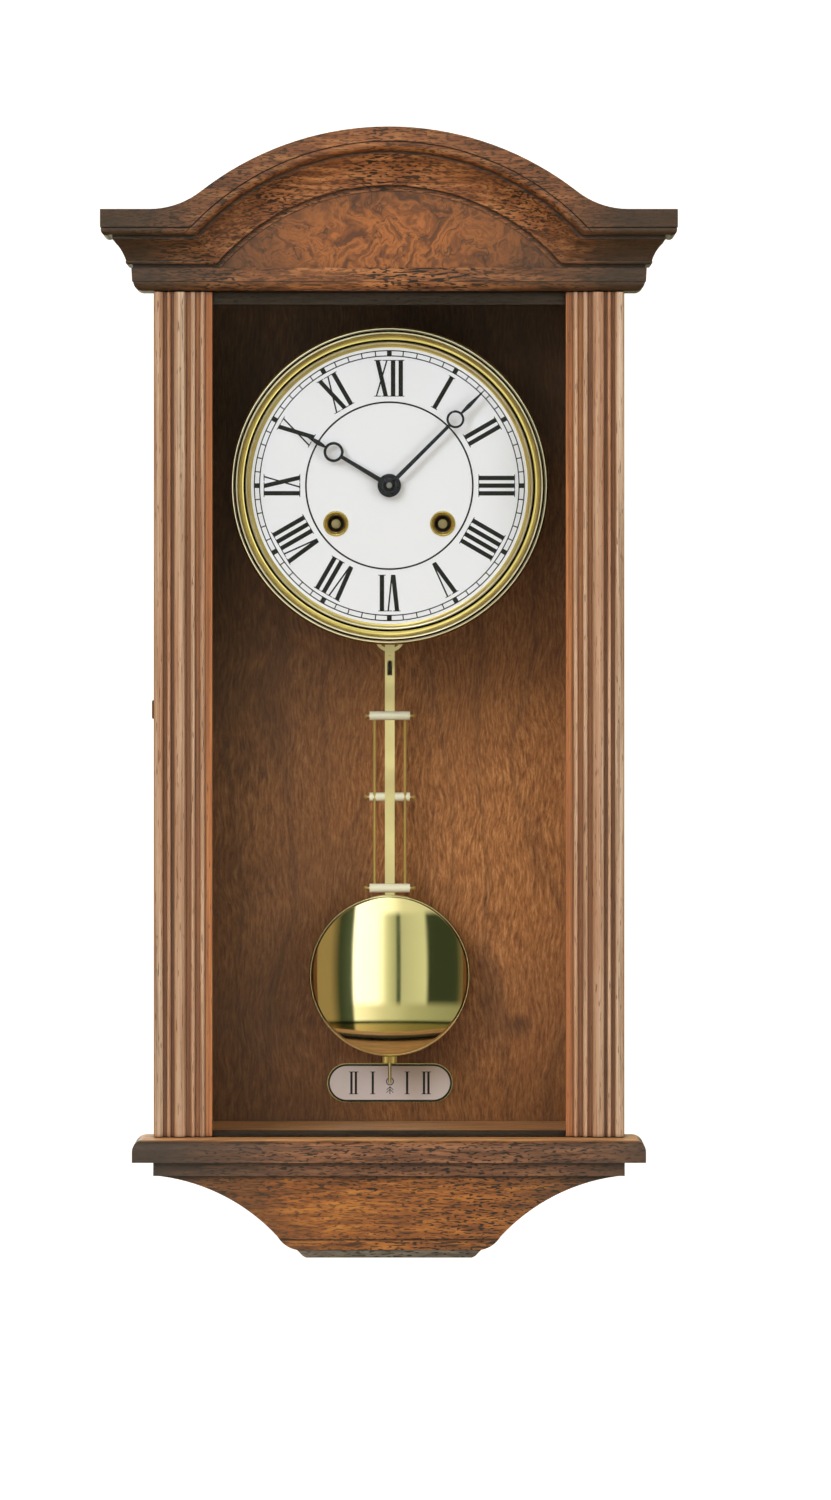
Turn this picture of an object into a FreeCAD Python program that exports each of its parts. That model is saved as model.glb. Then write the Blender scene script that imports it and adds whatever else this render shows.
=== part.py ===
"""Spring-wound wall clock in a wooden case: arched crown, glazed door, pendulum and striking movement.

Millimetres.  +Z is up, the front looks along -Y and the wall is the plane y = 0.  The shapes are drawn
with z measured from the lowest edge of the case and are then moved so that the origin is the centre of
the hanger hole on the back plane.
"""
import FreeCAD, Part
import math
import os

V = FreeCAD.Vector

# ---- driving dimensions of the case ----
HEIGHT = 610.0
CROWN_HALF_WIDTH = 155.5
CROWN_FRONT = -160.0
CASE_HALF_WIDTH = 127.2
SHOULDER_Z = 565.6
CEILING_Z = 522.5
FLOOR_Z = 64.4
HANGER_Z = 492.0
BOARD = 10.0
PANEL = 12.0
SIDE_FRONT = -118.0
CROWN_JOINT = -130.0
RETURN_END = -112.0

# ---- crown moulding ----
ARCH_RADIUS = 164.5
SHOULDER_RADIUS = 45.0
MOULD_CENTRE_Z = 455.8
MOULD_RADII = (120.8, 123.9, 124.8, 139.9, 141.5, 146.6)
MOULD_LEVELS = (534.9, 536.5, 538.5, 549.8, 551.9, 556.0)
MOULD_DEPTHS = (17.0, 14.9, 13.5, 6.4, 4.4, 0.9)
FRIEZE_SETBACK = 16.2
TYMPANUM_SETBACK = 18.2

# ---- base ----
BASE_HALF_WIDTH = 138.5
BASE_FRONT = -156.0
BASE_BOTTOM = 52.0
UNDER_BOTTOM = 44.5
UNDER_FRONT = -150.0
DROP_FRONT = -146.0
DROP_BACK_JOINT = -126.0
DROP_HALF_WIDTH = 49.8
STRIP_TOP = 4.2

# ---- door ----
STILE_WIDTH = 31.4
STILE_FACE = -136.0
DOOR_BACK = -121.0
DOOR_GAP = 0.5
TOP_RAIL = 6.5
BOTTOM_RAIL = 2.6
PIVOT_X = 121.5
PIVOT_Y = -128.0
PIVOT_R = 2.0
RUNNING = 0.05
REBATE_X = 100.2
GLASS_FRONT = -126.0
GLASS_THICK = 2.0
CATCH_X = -109.6
CATCH_Z = 300.0
CATCH_R = 4.0
# reeds of the stile: start, end and height above the stile's face, from the outer edge inwards
REEDS = ((0.0, 4.9, 3.6), (7.3, 8.7, 2.2), (10.5, 17.3, 4.0), (20.0, 21.9, 2.4), (25.1, 27.2, 2.2))

# ---- dial and movement ----
DIAL_Z = 418.0
DIAL_R = 77.0
DIAL_FRONT = -101.0
DIAL_BACK = -99.5
BEZEL_R = 87.0
BEZEL_INNER_R = 75.5
WIND_X = 29.2
WIND_Z = DIAL_Z - 20.8
GROMMET_R = 7.0
GROMMET_HOLE_R = 4.75
FRONT_PLATE = (-88.0, -86.4)
BACK_PLATE = (-54.0, -52.4)
PLATE_HALF_WIDTH = 64.0
PLATE_BOTTOM = DIAL_Z - 46.0
PLATE_TOP = DIAL_Z + 52.0
PIVOT_HOLE = 1.05
PIVOT_PIN = 1.0
PILLAR_POINTS = ((-57.0, -40.0), (57.0, -40.0), (-57.0, 46.0), (57.0, 46.0))
BRACKET_SCREW_X = PLATE_HALF_WIDTH + 7.0
BRACKET_SPAN = (DIAL_Z - 30.0, DIAL_Z + 36.0)
BRACKET_SCREW_Z = (DIAL_Z - 22.0, DIAL_Z + 28.0)
FOOT_POINTS = ((-38.0, -42.0), (38.0, -42.0), (-34.0, 46.0), (34.0, 46.0))

# ---- wheel train ----
BARREL_R = 18.5
BARREL_TEETH = 60
CENTRE_PINION = 12
CENTRE_TEETH = 64
THIRD_PINION = 8
THIRD_TEETH = 60
ESCAPE_PINION = 8
ESCAPE_TEETH = 30
ESCAPE_R = 11.0
TRAIN_MODULE = 0.6
STRIKE_MODULE = 0.5
STRIKE_PINION = 12
STRIKE_TEETH = 48
FLY_PINION = 8
PIN_CIRCLE_R = 9.5
CANNON_TEETH = 12
MINUTE_TEETH = 36
MINUTE_PINION = 10
HOUR_TEETH = 40
MOTION_DISTANCE = 14.4
THIRD_AT = (-15.2, DIAL_Z + 15.35)
SWING_Z = DIAL_Z + 46.0
HAMMER_AT = (42.0, DIAL_Z + 37.0)
GONG_Z = DIAL_Z - 8.0
GONG_Y = -17.0
GONG_WIRE = 1.2
GONG_R = 32.0

# ---- pendulum ----
PENDULUM_Y = -36.0
ROD_WIDTH = 5.4
SLOT_END_Z = 314.6
LEADER_Y = (-34.9, -33.5)
STIRRUP_Z = 335.4
STIRRUP_R = 8.4
HOOK_PIN_R = 0.7
BOB_Z = 147.3
BOB_R = 45.0
BAR_HEIGHTS = (291.6, 246.4, 195.8)
BAR_HALF = 11.25
BAR_R = 2.45
SIDE_ROD_X = 8.5
SIDE_ROD_R = 0.8
NUT_Z = 100.5
ROD_END_Z = 87.4

# ---- hands, clockwise from twelve ----
HOUR_ANGLE = 301.0
MINUTE_ANGLE = 45.0


# ---- small helpers ----
def box(x0, x1, y0, y1, z0, z1):
    return Part.makeBox(x1 - x0, y1 - y0, z1 - z0, V(x0, y0, z0))


def rod_y(x, z, y0, y1, radius):
    return Part.makeCylinder(radius, y1 - y0, V(x, y0, z), V(0, 1, 0))


def rod_x(x0, x1, y, z, radius):
    return Part.makeCylinder(radius, x1 - x0, V(x0, y, z), V(1, 0, 0))


def rod_z(x, y, z0, z1, radius):
    return Part.makeCylinder(radius, z1 - z0, V(x, y, z0), V(0, 0, 1))


def ring_y(x, z, y0, y1, outer, inner):
    return rod_y(x, z, y0, y1, outer).cut(rod_y(x, z, y0 - 1, y1 + 1, inner))


def fuse(shapes):
    return shapes[0].multiFuse(shapes[1:]).removeSplitter()


def mirrored(shape):
    return shape.mirror(V(0, 0, 0), V(1, 0, 0))


def both_sides(right):
    return compound([right, mirrored(right)])


def plate_xz(points, y0, y1):
    """Flat plate whose outline is given by (x, z) points."""
    corners = [V(x, y0, z) for x, z in points]
    wire = Part.makePolygon(corners + corners[:1])
    return Part.Face(wire).extrude(V(0, y1 - y0, 0))


def revolved_y(points, x, z):
    """Solid turned about the line through (x, z) along Y, from (radius, y) points."""
    corners = [V(x + radius, y, z) for radius, y in points]
    wire = Part.makePolygon(corners + corners[:1])
    return Part.Face(wire).revolve(V(x, 0, z), V(0, 1, 0), 360)


def turned(shape, x, z, clockwise_degrees):
    """Turn about the line through (x, z) along Y, clockwise as seen from the front."""
    result = shape.copy()
    result.rotate(V(x, 0, z), V(0, 1, 0), clockwise_degrees)
    return result


def compound(shapes):
    return Part.makeCompound(shapes)


def heading(start, end):
    """Angle of the line from start to end in the X-Z plane, in radians."""
    return math.atan2(end[1] - start[1], end[0] - start[0])


def gear(at, teeth, module, y0, y1, hole, tooth_angle=0.0):
    """Spur wheel with tapered teeth; one tooth points along tooth_angle."""
    pitch_r = teeth * module / 2
    tip = pitch_r + 0.55 * module
    root = pitch_r - 0.9 * module
    step = 2 * math.pi / teeth
    points = []
    for tooth in range(teeth):
        middle = tooth_angle + tooth * step
        for radius, offset in ((root, -0.22), (tip, -0.09), (tip, 0.09), (root, 0.22)):
            angle = middle + offset * step
            points.append((at[0] + radius * math.cos(angle), at[1] + radius * math.sin(angle)))
    body = plate_xz(points, y0, y1)
    if hole > 0:
        body = body.cut(rod_y(at[0], at[1], y0 - 1, y1 + 1, hole))
    return body


def crossed_out(wheel, at, rim, hub, y0, y1, spokes=5):
    """Cut the openings between the spokes of a wheel."""
    opening = ring_y(at[0], at[1], y0 - 1, y1 + 1, rim, hub)
    for spoke in range(spokes):
        arm = box(at[0] - 1.0, at[0] + 1.0, y0 - 2, y1 + 2, at[1], at[1] + rim + 1)
        opening = opening.cut(turned(arm, at[0], at[1], 360.0 * spoke / spokes))
    return wheel.cut(opening)


# ---- crown ----
def crown_outline(y0, y1, bottom):
    """Board whose top edge is the arch with a concave shoulder on each side."""
    centre_z = HEIGHT - ARCH_RADIUS
    rise = SHOULDER_Z + SHOULDER_RADIUS - centre_z
    shoulder_x = math.sqrt((ARCH_RADIUS + SHOULDER_RADIUS) ** 2 - rise ** 2)
    share = ARCH_RADIUS / (ARCH_RADIUS + SHOULDER_RADIUS)
    meet = V(shoulder_x * share, y0, centre_z + rise * share)
    lean = 0.5 * math.atan2(shoulder_x, rise)
    mid = V(shoulder_x - SHOULDER_RADIUS * math.sin(lean), y0,
            SHOULDER_Z + SHOULDER_RADIUS * (1 - math.cos(lean)))
    foot = V(shoulder_x, y0, SHOULDER_Z)
    top = V(0, y0, HEIGHT)

    def left(p):
        return V(-p.x, p.y, p.z)

    right_end = V(CROWN_HALF_WIDTH, y0, SHOULDER_Z)
    right_low = V(CROWN_HALF_WIDTH, y0, bottom)
    edges = [
        Part.Arc(left(meet), top, meet).toShape(),
        Part.Arc(meet, mid, foot).toShape(),
        Part.makeLine(foot, right_end),
        Part.makeLine(right_end, right_low),
        Part.makeLine(right_low, left(right_low)),
        Part.makeLine(left(right_low), left(right_end)),
        Part.makeLine(left(right_end), left(foot)),
        Part.Arc(left(foot), left(mid), left(meet)).toShape(),
    ]
    return Part.Face(Part.Wire(edges)).extrude(V(0, y1 - y0, 0))


def mould_edges(levels, place, outer, back):
    """Closed moulding section.  place(setback, level) gives the point in space."""
    d = MOULD_DEPTHS
    start = place(0, outer)
    bead_top = place(0, levels[5])
    bead_in = place(d[5], levels[5])
    bead_mid = place(d[5] - 0.5, (levels[5] + levels[4]) / 2 + 0.6)
    bead_low = place(d[4], levels[4])
    groove_in = place(d[3], levels[4])
    groove_low = place(d[3], levels[3])
    cove_mid = place((d[3] + d[2]) / 2 + 0.7, (levels[3] + levels[2]) / 2 + 0.4)
    cove_low = place(d[2], levels[2])
    inner_bead = place(d[1] - 1.6, (levels[2] + levels[1]) / 2)
    bead_end = place(d[1], levels[1])
    lip = place(d[0], levels[1])
    lip_end = place(d[0], levels[0])
    back_low = place(back, levels[0])
    back_top = place(back, outer)
    return [
        Part.makeLine(start, bead_top),
        Part.makeLine(bead_top, bead_in),
        Part.Arc(bead_in, bead_mid, bead_low).toShape(),
        Part.makeLine(bead_low, groove_in),
        Part.makeLine(groove_in, groove_low),
        Part.Arc(groove_low, cove_mid, cove_low).toShape(),
        Part.Arc(cove_low, inner_bead, bead_end).toShape(),
        Part.makeLine(bead_end, lip),
        Part.makeLine(lip, lip_end),
        Part.makeLine(lip_end, back_low),
        Part.makeLine(back_low, back_top),
        Part.makeLine(back_top, start),
    ]


def straight_mould_front(back):
    """The moulding section run straight across the front."""
    half = CROWN_HALF_WIDTH + 1

    def place(setback, level):
        return V(-half, CROWN_FRONT + setback, level)

    face = Part.Face(Part.Wire(mould_edges(MOULD_LEVELS, place, HEIGHT + 1, back - CROWN_FRONT)))
    return face.extrude(V(2 * half, 0, 0))


def straight_mould_side(y0, y1, inner_x):
    """The moulding section run from front to back on the right side."""
    def place(setback, level):
        return V(CROWN_HALF_WIDTH - setback, y0, level)

    edges = mould_edges(MOULD_LEVELS, place, HEIGHT + 1, CROWN_HALF_WIDTH - inner_x)
    return Part.Face(Part.Wire(edges)).extrude(V(0, y1 - y0, 0))


def arched_mould(back):
    """The moulding section turned about the centre of the arch."""
    def place(setback, radius):
        return V(0, CROWN_FRONT + setback, MOULD_CENTRE_Z + radius)

    edges = mould_edges(MOULD_RADII, place, CROWN_HALF_WIDTH * 1.6, back - CROWN_FRONT)
    return Part.Face(Part.Wire(edges)).revolve(V(0, 0, MOULD_CENTRE_Z), V(0, 1, 0), 360)


def crown_moulding():
    side = straight_mould_side(CROWN_FRONT - 1, CROWN_JOINT, -CROWN_HALF_WIDTH)
    ends = side.common(mirrored(side))
    body = crown_outline(CROWN_FRONT, CROWN_JOINT, MOULD_LEVELS[0])
    body = body.common(straight_mould_front(CROWN_JOINT))
    return body.common(arched_mould(CROWN_JOINT)).common(ends)


def tympanum_panel():
    """Burl panel under the arch, let in behind the moulding's lip."""
    front = CROWN_FRONT + TYMPANUM_SETBACK
    disc = rod_y(0, MOULD_CENTRE_Z, front, CROWN_JOINT, MOULD_RADII[0] - 0.02)
    level = MOULD_LEVELS[0]
    above = box(-CROWN_HALF_WIDTH, CROWN_HALF_WIDTH, front - 1, CROWN_JOINT + 1, level, HEIGHT)
    return disc.common(above)


def frieze_section(place, back):
    """Flat band with a rounded lower edge."""
    top = MOULD_LEVELS[0] - 0.02
    set_in = FRIEZE_SETBACK
    start = place(set_in, top)
    band_end = place(set_in + 0.4, 527.6)
    step = place(set_in + 1.0, 527.4)
    round_mid = place(set_in + 2.2, 524.2)
    round_end = place(set_in + 5.6, CEILING_Z)
    return [
        Part.makeLine(start, band_end),
        Part.makeLine(band_end, step),
        Part.Arc(step, round_mid, round_end).toShape(),
        Part.makeLine(round_end, place(back, CEILING_Z)),
        Part.makeLine(place(back, CEILING_Z), place(back, top)),
        Part.makeLine(place(back, top), start),
    ]


def frieze_side(y0, y1, inner_x):
    def place(setback, level):
        return V(CROWN_HALF_WIDTH - setback, y0, level)

    edges = frieze_section(place, CROWN_HALF_WIDTH - inner_x)
    return Part.Face(Part.Wire(edges)).extrude(V(0, y1 - y0, 0))


def frieze_rail():
    def place(setback, level):
        return V(-CROWN_HALF_WIDTH, CROWN_FRONT + setback, level)

    edges = frieze_section(place, CROWN_JOINT - CROWN_FRONT)
    front = Part.Face(Part.Wire(edges)).extrude(V(2 * CROWN_HALF_WIDTH, 0, 0))
    side = frieze_side(CROWN_FRONT, CROWN_JOINT, -CROWN_HALF_WIDTH)
    return front.common(side).common(mirrored(side))


def crown_return_right():
    """Short return of the moulding and frieze on the right side of the crown."""
    mould = straight_mould_side(CROWN_JOINT, RETURN_END, CASE_HALF_WIDTH)
    below_shoulder = box(0, CROWN_HALF_WIDTH + 1, CROWN_JOINT - 1, 1, 0, SHOULDER_Z)
    frieze = frieze_side(CROWN_JOINT, RETURN_END, CASE_HALF_WIDTH)
    joint = box(CASE_HALF_WIDTH, CROWN_HALF_WIDTH - FRIEZE_SETBACK - 1, CROWN_JOINT, RETURN_END,
                MOULD_LEVELS[0] - 1, MOULD_LEVELS[0] + 1)
    return fuse([mould.common(below_shoulder), frieze, joint])


def top_board():
    board = box(-CASE_HALF_WIDTH, CASE_HALF_WIDTH, CROWN_JOINT, 0, CEILING_Z, CEILING_Z + BOARD)
    return board.cut(rod_z(PIVOT_X, PIVOT_Y, CEILING_Z - 1, CEILING_Z + 7, PIVOT_R))


# ---- case ----
def side_panel_right():
    return box(CASE_HALF_WIDTH - PANEL, CASE_HALF_WIDTH, SIDE_FRONT, 0, FLOOR_Z, CEILING_Z)


def back_board():
    half = CASE_HALF_WIDTH - PANEL
    board = box(-half, half, -BOARD, 0, FLOOR_Z, CEILING_Z)
    recess = box(-13, 13, -4, 1, HANGER_Z - 18, HANGER_Z + 22)
    return board.cut(recess)


def base_plate():
    """Base board, wider at the front, with its upper edge rounded on the front and the sides."""
    plate = box(-BASE_HALF_WIDTH, BASE_HALF_WIDTH, BASE_FRONT, RETURN_END, BASE_BOTTOM, FLOOR_Z)
    rear = box(-CASE_HALF_WIDTH, CASE_HALF_WIDTH, RETURN_END, 0, BASE_BOTTOM, FLOOR_Z)
    upper = []
    for edge in plate.Edges:
        centre = edge.CenterOfMass
        at_rim = centre.y < BASE_FRONT + 1 or abs(abs(centre.x) - BASE_HALF_WIDTH) < 1
        level = abs(edge.Vertexes[0].Z - FLOOR_Z) < 0.01 and abs(edge.Vertexes[1].Z - FLOOR_Z) < 0.01
        if at_rim and level:
            upper.append(edge)
    plate = fuse([plate.makeFillet(6.5, upper), rear])
    return plate.cut(rod_z(PIVOT_X, PIVOT_Y, FLOOR_Z - 7, FLOOR_Z + 1, PIVOT_R))


def under_board():
    return box(-CASE_HALF_WIDTH, CASE_HALF_WIDTH, UNDER_FRONT, 0, UNDER_BOTTOM, BASE_BOTTOM)


def drop_outline(y0, y1):
    """Carved drop: a long scoop on each side, then a small round down to a short flat foot."""
    foot = DROP_HALF_WIDTH
    top_r = V(CASE_HALF_WIDTH, y0, UNDER_BOTTOM)
    scoop_mid = V(CASE_HALF_WIDTH - 32.2, y0, UNDER_BOTTOM - 8.3)
    scoop_end = V(foot + 10.5, y0, 11.5)
    round_mid = V(foot + 5.6, y0, 6.4)
    low_end = V(foot, y0, STRIP_TOP)

    def left(p):
        return V(-p.x, p.y, p.z)

    edges = [
        Part.Arc(top_r, scoop_mid, scoop_end).toShape(),
        Part.Arc(scoop_end, round_mid, low_end).toShape(),
        Part.makeLine(low_end, left(low_end)),
        Part.Arc(left(low_end), left(round_mid), left(scoop_end)).toShape(),
        Part.Arc(left(scoop_end), left(scoop_mid), left(top_r)).toShape(),
        Part.makeLine(left(top_r), top_r),
    ]
    return Part.Face(Part.Wire(edges)).extrude(V(0, y1 - y0, 0))


def drop_front():
    """Front board of the drop with a quirk cut above its lower band."""
    board = drop_outline(DROP_FRONT, DROP_BACK_JOINT)
    quirk = box(-80, 80, DROP_FRONT - 1, DROP_FRONT + 0.9, 9.3, 10.3)
    band = box(-80, 80, DROP_FRONT - 1, DROP_FRONT + 0.5, STRIP_TOP - 1, 9.3)
    return board.cut(quirk).cut(band)


def drop_body():
    return drop_outline(DROP_BACK_JOINT, 0)


def drop_strip():
    """Chamfered strip along the foot of the drop."""
    half = DROP_HALF_WIDTH
    points = [(-half, STRIP_TOP), (half, STRIP_TOP), (half - 3.2, 0.9), (half - 5.0, 0),
              (5.0 - half, 0), (3.2 - half, 0.9)]
    return plate_xz(points, DROP_FRONT + 1.0, 0)


def wall_hanger():
    """Steel plate with a keyhole: a round hole that covers most of a circle, and a slot above it."""
    plate = box(-12.5, 12.5, -2, 0, HANGER_Z - 17, HANGER_Z + 21)
    hole = rod_y(0, HANGER_Z, -3, 1, 5.0)
    slot = box(-2.2, 2.2, -3, 1, HANGER_Z, HANGER_Z + 11)
    slot_end = rod_y(0, HANGER_Z + 11, -3, 1, 2.2)
    screw_holes = [rod_y(x, HANGER_Z - 11, -3, 1, 1.6) for x in (-8, 8)]
    return plate.cut(fuse([hole, slot, slot_end])).cut(compound(screw_holes))


def screw(x, z, head_y, point_y, head_r, shank_r):
    """Countersunk wood screw along Y, from its head to its point."""
    step = 1.2 if point_y > head_y else -1.2
    head = revolved_y([(0, head_y), (head_r, head_y), (shank_r, head_y + step), (0, head_y + step)], x, z)
    low = min(head_y, point_y)
    shank = rod_y(x, z, low, max(head_y, point_y), shank_r)
    slot = box(x - head_r, x + head_r, head_y - 0.4, head_y + 0.4, z - 0.3, z + 0.3)
    return fuse([head, shank]).cut(slot)


def hanger_screws():
    return compound([screw(x, HANGER_Z - 11, 0, -3.9, 1.55, 1.0) for x in (-8, 8)])


# ---- door ----
def stile_section():
    """Reeded section of the right stile, from its outer edge inwards."""
    def at(inward, y):
        return V(CASE_HALF_WIDTH - inward, y, FLOOR_Z + DOOR_GAP)

    edges = []
    last = at(0, DOOR_BACK)
    for start, end, height in REEDS:
        foot = at(start, STILE_FACE)
        if (foot - last).Length > 0.01:
            edges.append(Part.makeLine(last, foot))
        crest = at((start + end) / 2, STILE_FACE - height)
        last = at(end, STILE_FACE)
        edges.append(Part.Arc(foot, crest, last).toShape())
    rebate_in = STILE_WIDTH - (REBATE_X - (CASE_HALF_WIDTH - STILE_WIDTH))
    for point in (at(STILE_WIDTH, STILE_FACE), at(STILE_WIDTH, GLASS_FRONT),
                  at(rebate_in, GLASS_FRONT), at(rebate_in, DOOR_BACK), at(0, DOOR_BACK)):
        edges.append(Part.makeLine(last, point))
        last = point
    return Part.Face(Part.Wire(edges))


def door_stile_plain():
    return stile_section().extrude(V(0, 0, CEILING_Z - FLOOR_Z - 2 * DOOR_GAP))


def door_stile_right():
    hole = rod_z(PIVOT_X, PIVOT_Y, FLOOR_Z, FLOOR_Z + 9, PIVOT_R + RUNNING)
    top_hole = rod_z(PIVOT_X, PIVOT_Y, CEILING_Z - 9, CEILING_Z, PIVOT_R + RUNNING)
    return door_stile_plain().cut(hole).cut(top_hole)


def door_stile_left():
    strike_seat = rod_y(CATCH_X, CATCH_Z, DOOR_BACK - 2, DOOR_BACK + 1, CATCH_R)
    return mirrored(door_stile_plain()).cut(strike_seat)


def door_rails():
    """Slim top and bottom rails, set back from the face of the stiles."""
    inner = CASE_HALF_WIDTH - STILE_WIDTH
    low = FLOOR_Z + DOOR_GAP
    high = CEILING_Z - DOOR_GAP
    top = box(-inner, inner, STILE_FACE + 3, GLASS_FRONT, high - TOP_RAIL, high)
    bottom = box(-inner, inner, STILE_FACE + 3, GLASS_FRONT, low, low + BOTTOM_RAIL)
    return compound([top, bottom])


def door_glass():
    half = REBATE_X - 0.2
    return box(-half, half, GLASS_FRONT, GLASS_FRONT + GLASS_THICK, FLOOR_Z + 1.0, CEILING_Z - 1.0)


def glass_beads():
    """Slim strips that hold the pane in its rebate."""
    y0 = GLASS_FRONT + GLASS_THICK
    inner = REBATE_X - 3.6
    sides = [box(inner, REBATE_X, y0, DOOR_BACK - 0.3, FLOOR_Z + 1, CEILING_Z - 1)]
    sides.append(mirrored(sides[0]))
    across = box(-inner, inner, y0, DOOR_BACK - 0.3, CEILING_Z - 4.6, CEILING_Z - 1)
    return compound(sides + [across])


def door_pivot_pins():
    lower = rod_z(PIVOT_X, PIVOT_Y, FLOOR_Z - 7, FLOOR_Z + 8, PIVOT_R)
    upper = rod_z(PIVOT_X, PIVOT_Y, CEILING_Z - 8, CEILING_Z + 7, PIVOT_R)
    return compound([lower, upper])


def door_pull():
    """Small brass finger tab on the outer edge of the free stile."""
    plate = box(-CASE_HALF_WIDTH - 1.3, -CASE_HALF_WIDTH, -134, -124, 291, 301)
    upright = [edge for edge in plate.Edges if abs(edge.CenterOfMass.x + CASE_HALF_WIDTH + 1.3) < 0.01]
    return plate.makeFillet(0.6, upright)


def catch_magnet():
    """Round magnet in a brass cup, let into the front edge of the left side panel's block."""
    return rod_y(CATCH_X, CATCH_Z, SIDE_FRONT - 1.5, SIDE_FRONT + 8, CATCH_R)


def catch_block():
    block = box(-CASE_HALF_WIDTH + PANEL, -104, SIDE_FRONT - 0.2, SIDE_FRONT + 14, 288, 312)
    return block.cut(rod_y(CATCH_X, CATCH_Z, SIDE_FRONT - 1, SIDE_FRONT + 8, CATCH_R))


def catch_strike():
    return rod_y(CATCH_X, CATCH_Z, DOOR_BACK - 2, DOOR_BACK, CATCH_R)


# ---- dial ----
def dial_plate():
    disc = rod_y(0, DIAL_Z, DIAL_FRONT, DIAL_BACK, DIAL_R)
    disc = disc.cut(rod_y(0, DIAL_Z, DIAL_FRONT - 1, DIAL_BACK + 1, 5.0))
    for side in (-1, 1):
        disc = disc.cut(rod_y(side * WIND_X, WIND_Z, DIAL_FRONT - 1, DIAL_BACK + 1, GROMMET_HOLE_R + 1.0))
    return disc


def dial_bezel():
    """Spun brass ring: stepped rings round a broad rolled band."""
    front = DIAL_FRONT
    points = [
        (DIAL_R + 0.02, DIAL_BACK), (DIAL_R + 0.02, front), (BEZEL_INNER_R, front),
        (BEZEL_INNER_R, front - 1.0), (76.3, front - 1.8), (77.2, front - 1.6), (78.4, front - 2.6),
        (78.9, front - 2.2), (79.9, front - 3.9), (81.1, front - 4.6), (82.3, front - 4.3),
        (82.9, front - 3.4), (83.4, front - 3.8), (84.2, front - 3.4), (84.7, front - 2.2),
        (85.5, front - 2.4), (86.5, front - 1.2), (BEZEL_R, front + 0.4), (BEZEL_R, DIAL_BACK + 3.0),
        (BEZEL_R - 1.2, DIAL_BACK + 3.0), (BEZEL_R - 1.4, DIAL_BACK),
    ]
    return revolved_y(points, 0, DIAL_Z)


def winding_grommet(side):
    front = DIAL_FRONT
    hole = GROMMET_HOLE_R
    points = [(hole, DIAL_BACK), (hole, front - 0.7), (hole + 0.7, front - 1.0), (GROMMET_R, front - 0.4),
              (GROMMET_R, front), (hole + 1.0, front), (hole + 1.0, DIAL_BACK)]
    return revolved_y(points, side * WIND_X, WIND_Z)


def winding_grommets():
    return compound([winding_grommet(-1), winding_grommet(1)])


def dial_feet():
    return compound([rod_y(x, DIAL_Z + z, DIAL_BACK, FRONT_PLATE[0], 2.2) for x, z in FOOT_POINTS])


def hand(length, ring_at, ring_r, hole_r, y0, y1, hub_r, bore, waist):
    """Slim tapering hand with one open ring, pointing at twelve."""
    z = DIAL_Z
    lower = plate_xz([(-waist, z), (waist, z), (waist * 0.75, z + ring_at - ring_r + 0.4),
                      (-waist * 0.75, z + ring_at - ring_r + 0.4)], y0, y1)
    neck_z = z + ring_at + ring_r - 0.4
    belly_z = neck_z + 0.32 * (z + length - neck_z)
    upper = plate_xz([(-0.6, neck_z), (0.6, neck_z), (waist, belly_z), (0.2, z + length),
                      (-0.2, z + length), (-waist, belly_z)], y0, y1)
    ring = rod_y(0, z + ring_at, y0, y1, ring_r)
    hub = rod_y(0, z, y0, y1, hub_r)
    blade = fuse([lower, upper, ring, hub])
    return blade.cut(rod_y(0, z + ring_at, y0 - 1, y1 + 1, hole_r)).cut(rod_y(0, z, y0 - 1, y1 + 1, bore))


def hour_hand():
    blade = hand(55.0, 35.5, 5.5, 4.0, -105.4, -104.6, 6.4, 3.0, 1.35)
    return turned(blade, 0, DIAL_Z, HOUR_ANGLE)


def minute_hand():
    blade = hand(73.5, 51.0, 4.9, 3.65, -107.6, -106.8, 5.2, 1.6, 1.2)
    return turned(blade, 0, DIAL_Z, MINUTE_ANGLE)


def hand_nut():
    points = [(1.6, -107.6), (4.2, -107.6), (4.2, -108.6), (3.4, -109.8), (1.6, -110.2)]
    return revolved_y(points, 0, DIAL_Z)


# ---- movement frame ----
CENTRE_AT = (0.0, DIAL_Z)
GOING_AT = (-WIND_X, WIND_Z)
STRIKE_AT = (WIND_X, WIND_Z)
ESCAPE_AT = (0.0, THIRD_AT[1] + 13.61)
STRIKE_WHEEL_AT = (38.0, DIAL_Z + 13.95)
FLY_STEP = (STRIKE_TEETH + FLY_PINION) * STRIKE_MODULE / 2 * math.sqrt(0.5)
FLY_AT = (STRIKE_WHEEL_AT[0] - FLY_STEP, STRIKE_WHEEL_AT[1] + FLY_STEP)
MINUTE_WHEEL_AT = (MOTION_DISTANCE * math.sqrt(0.5), DIAL_Z - MOTION_DISTANCE * math.sqrt(0.5))
BARREL_MODULE = 2 * math.hypot(WIND_X, DIAL_Z - WIND_Z) / (BARREL_TEETH + CENTRE_PINION)
BARREL_Y = (-82.0, -66.0)
GOING_GEAR_Y = (-66.0, -64.4)
STRIKE_GEAR_Y = (-83.6, -82.0)
ARBOR_R = 1.5
WIND_ARBOR_R = 2.8
RATCHET_R = 8.5
RATCHET_TEETH = 18
RATCHET_Y = (-90.2, -88.8)
SHORT_ARBORS = (THIRD_AT, ESCAPE_AT, STRIKE_WHEEL_AT, FLY_AT, HAMMER_AT)


def plate_blank(span):
    return box(-PLATE_HALF_WIDTH, PLATE_HALF_WIDTH, span[0], span[1], PLATE_BOTTOM, PLATE_TOP)


def bored(plate, span, points, radius):
    holes = [rod_y(x, z, span[0] - 1, span[1] + 1, radius) for x, z in points]
    return plate.cut(compound(holes))


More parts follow.
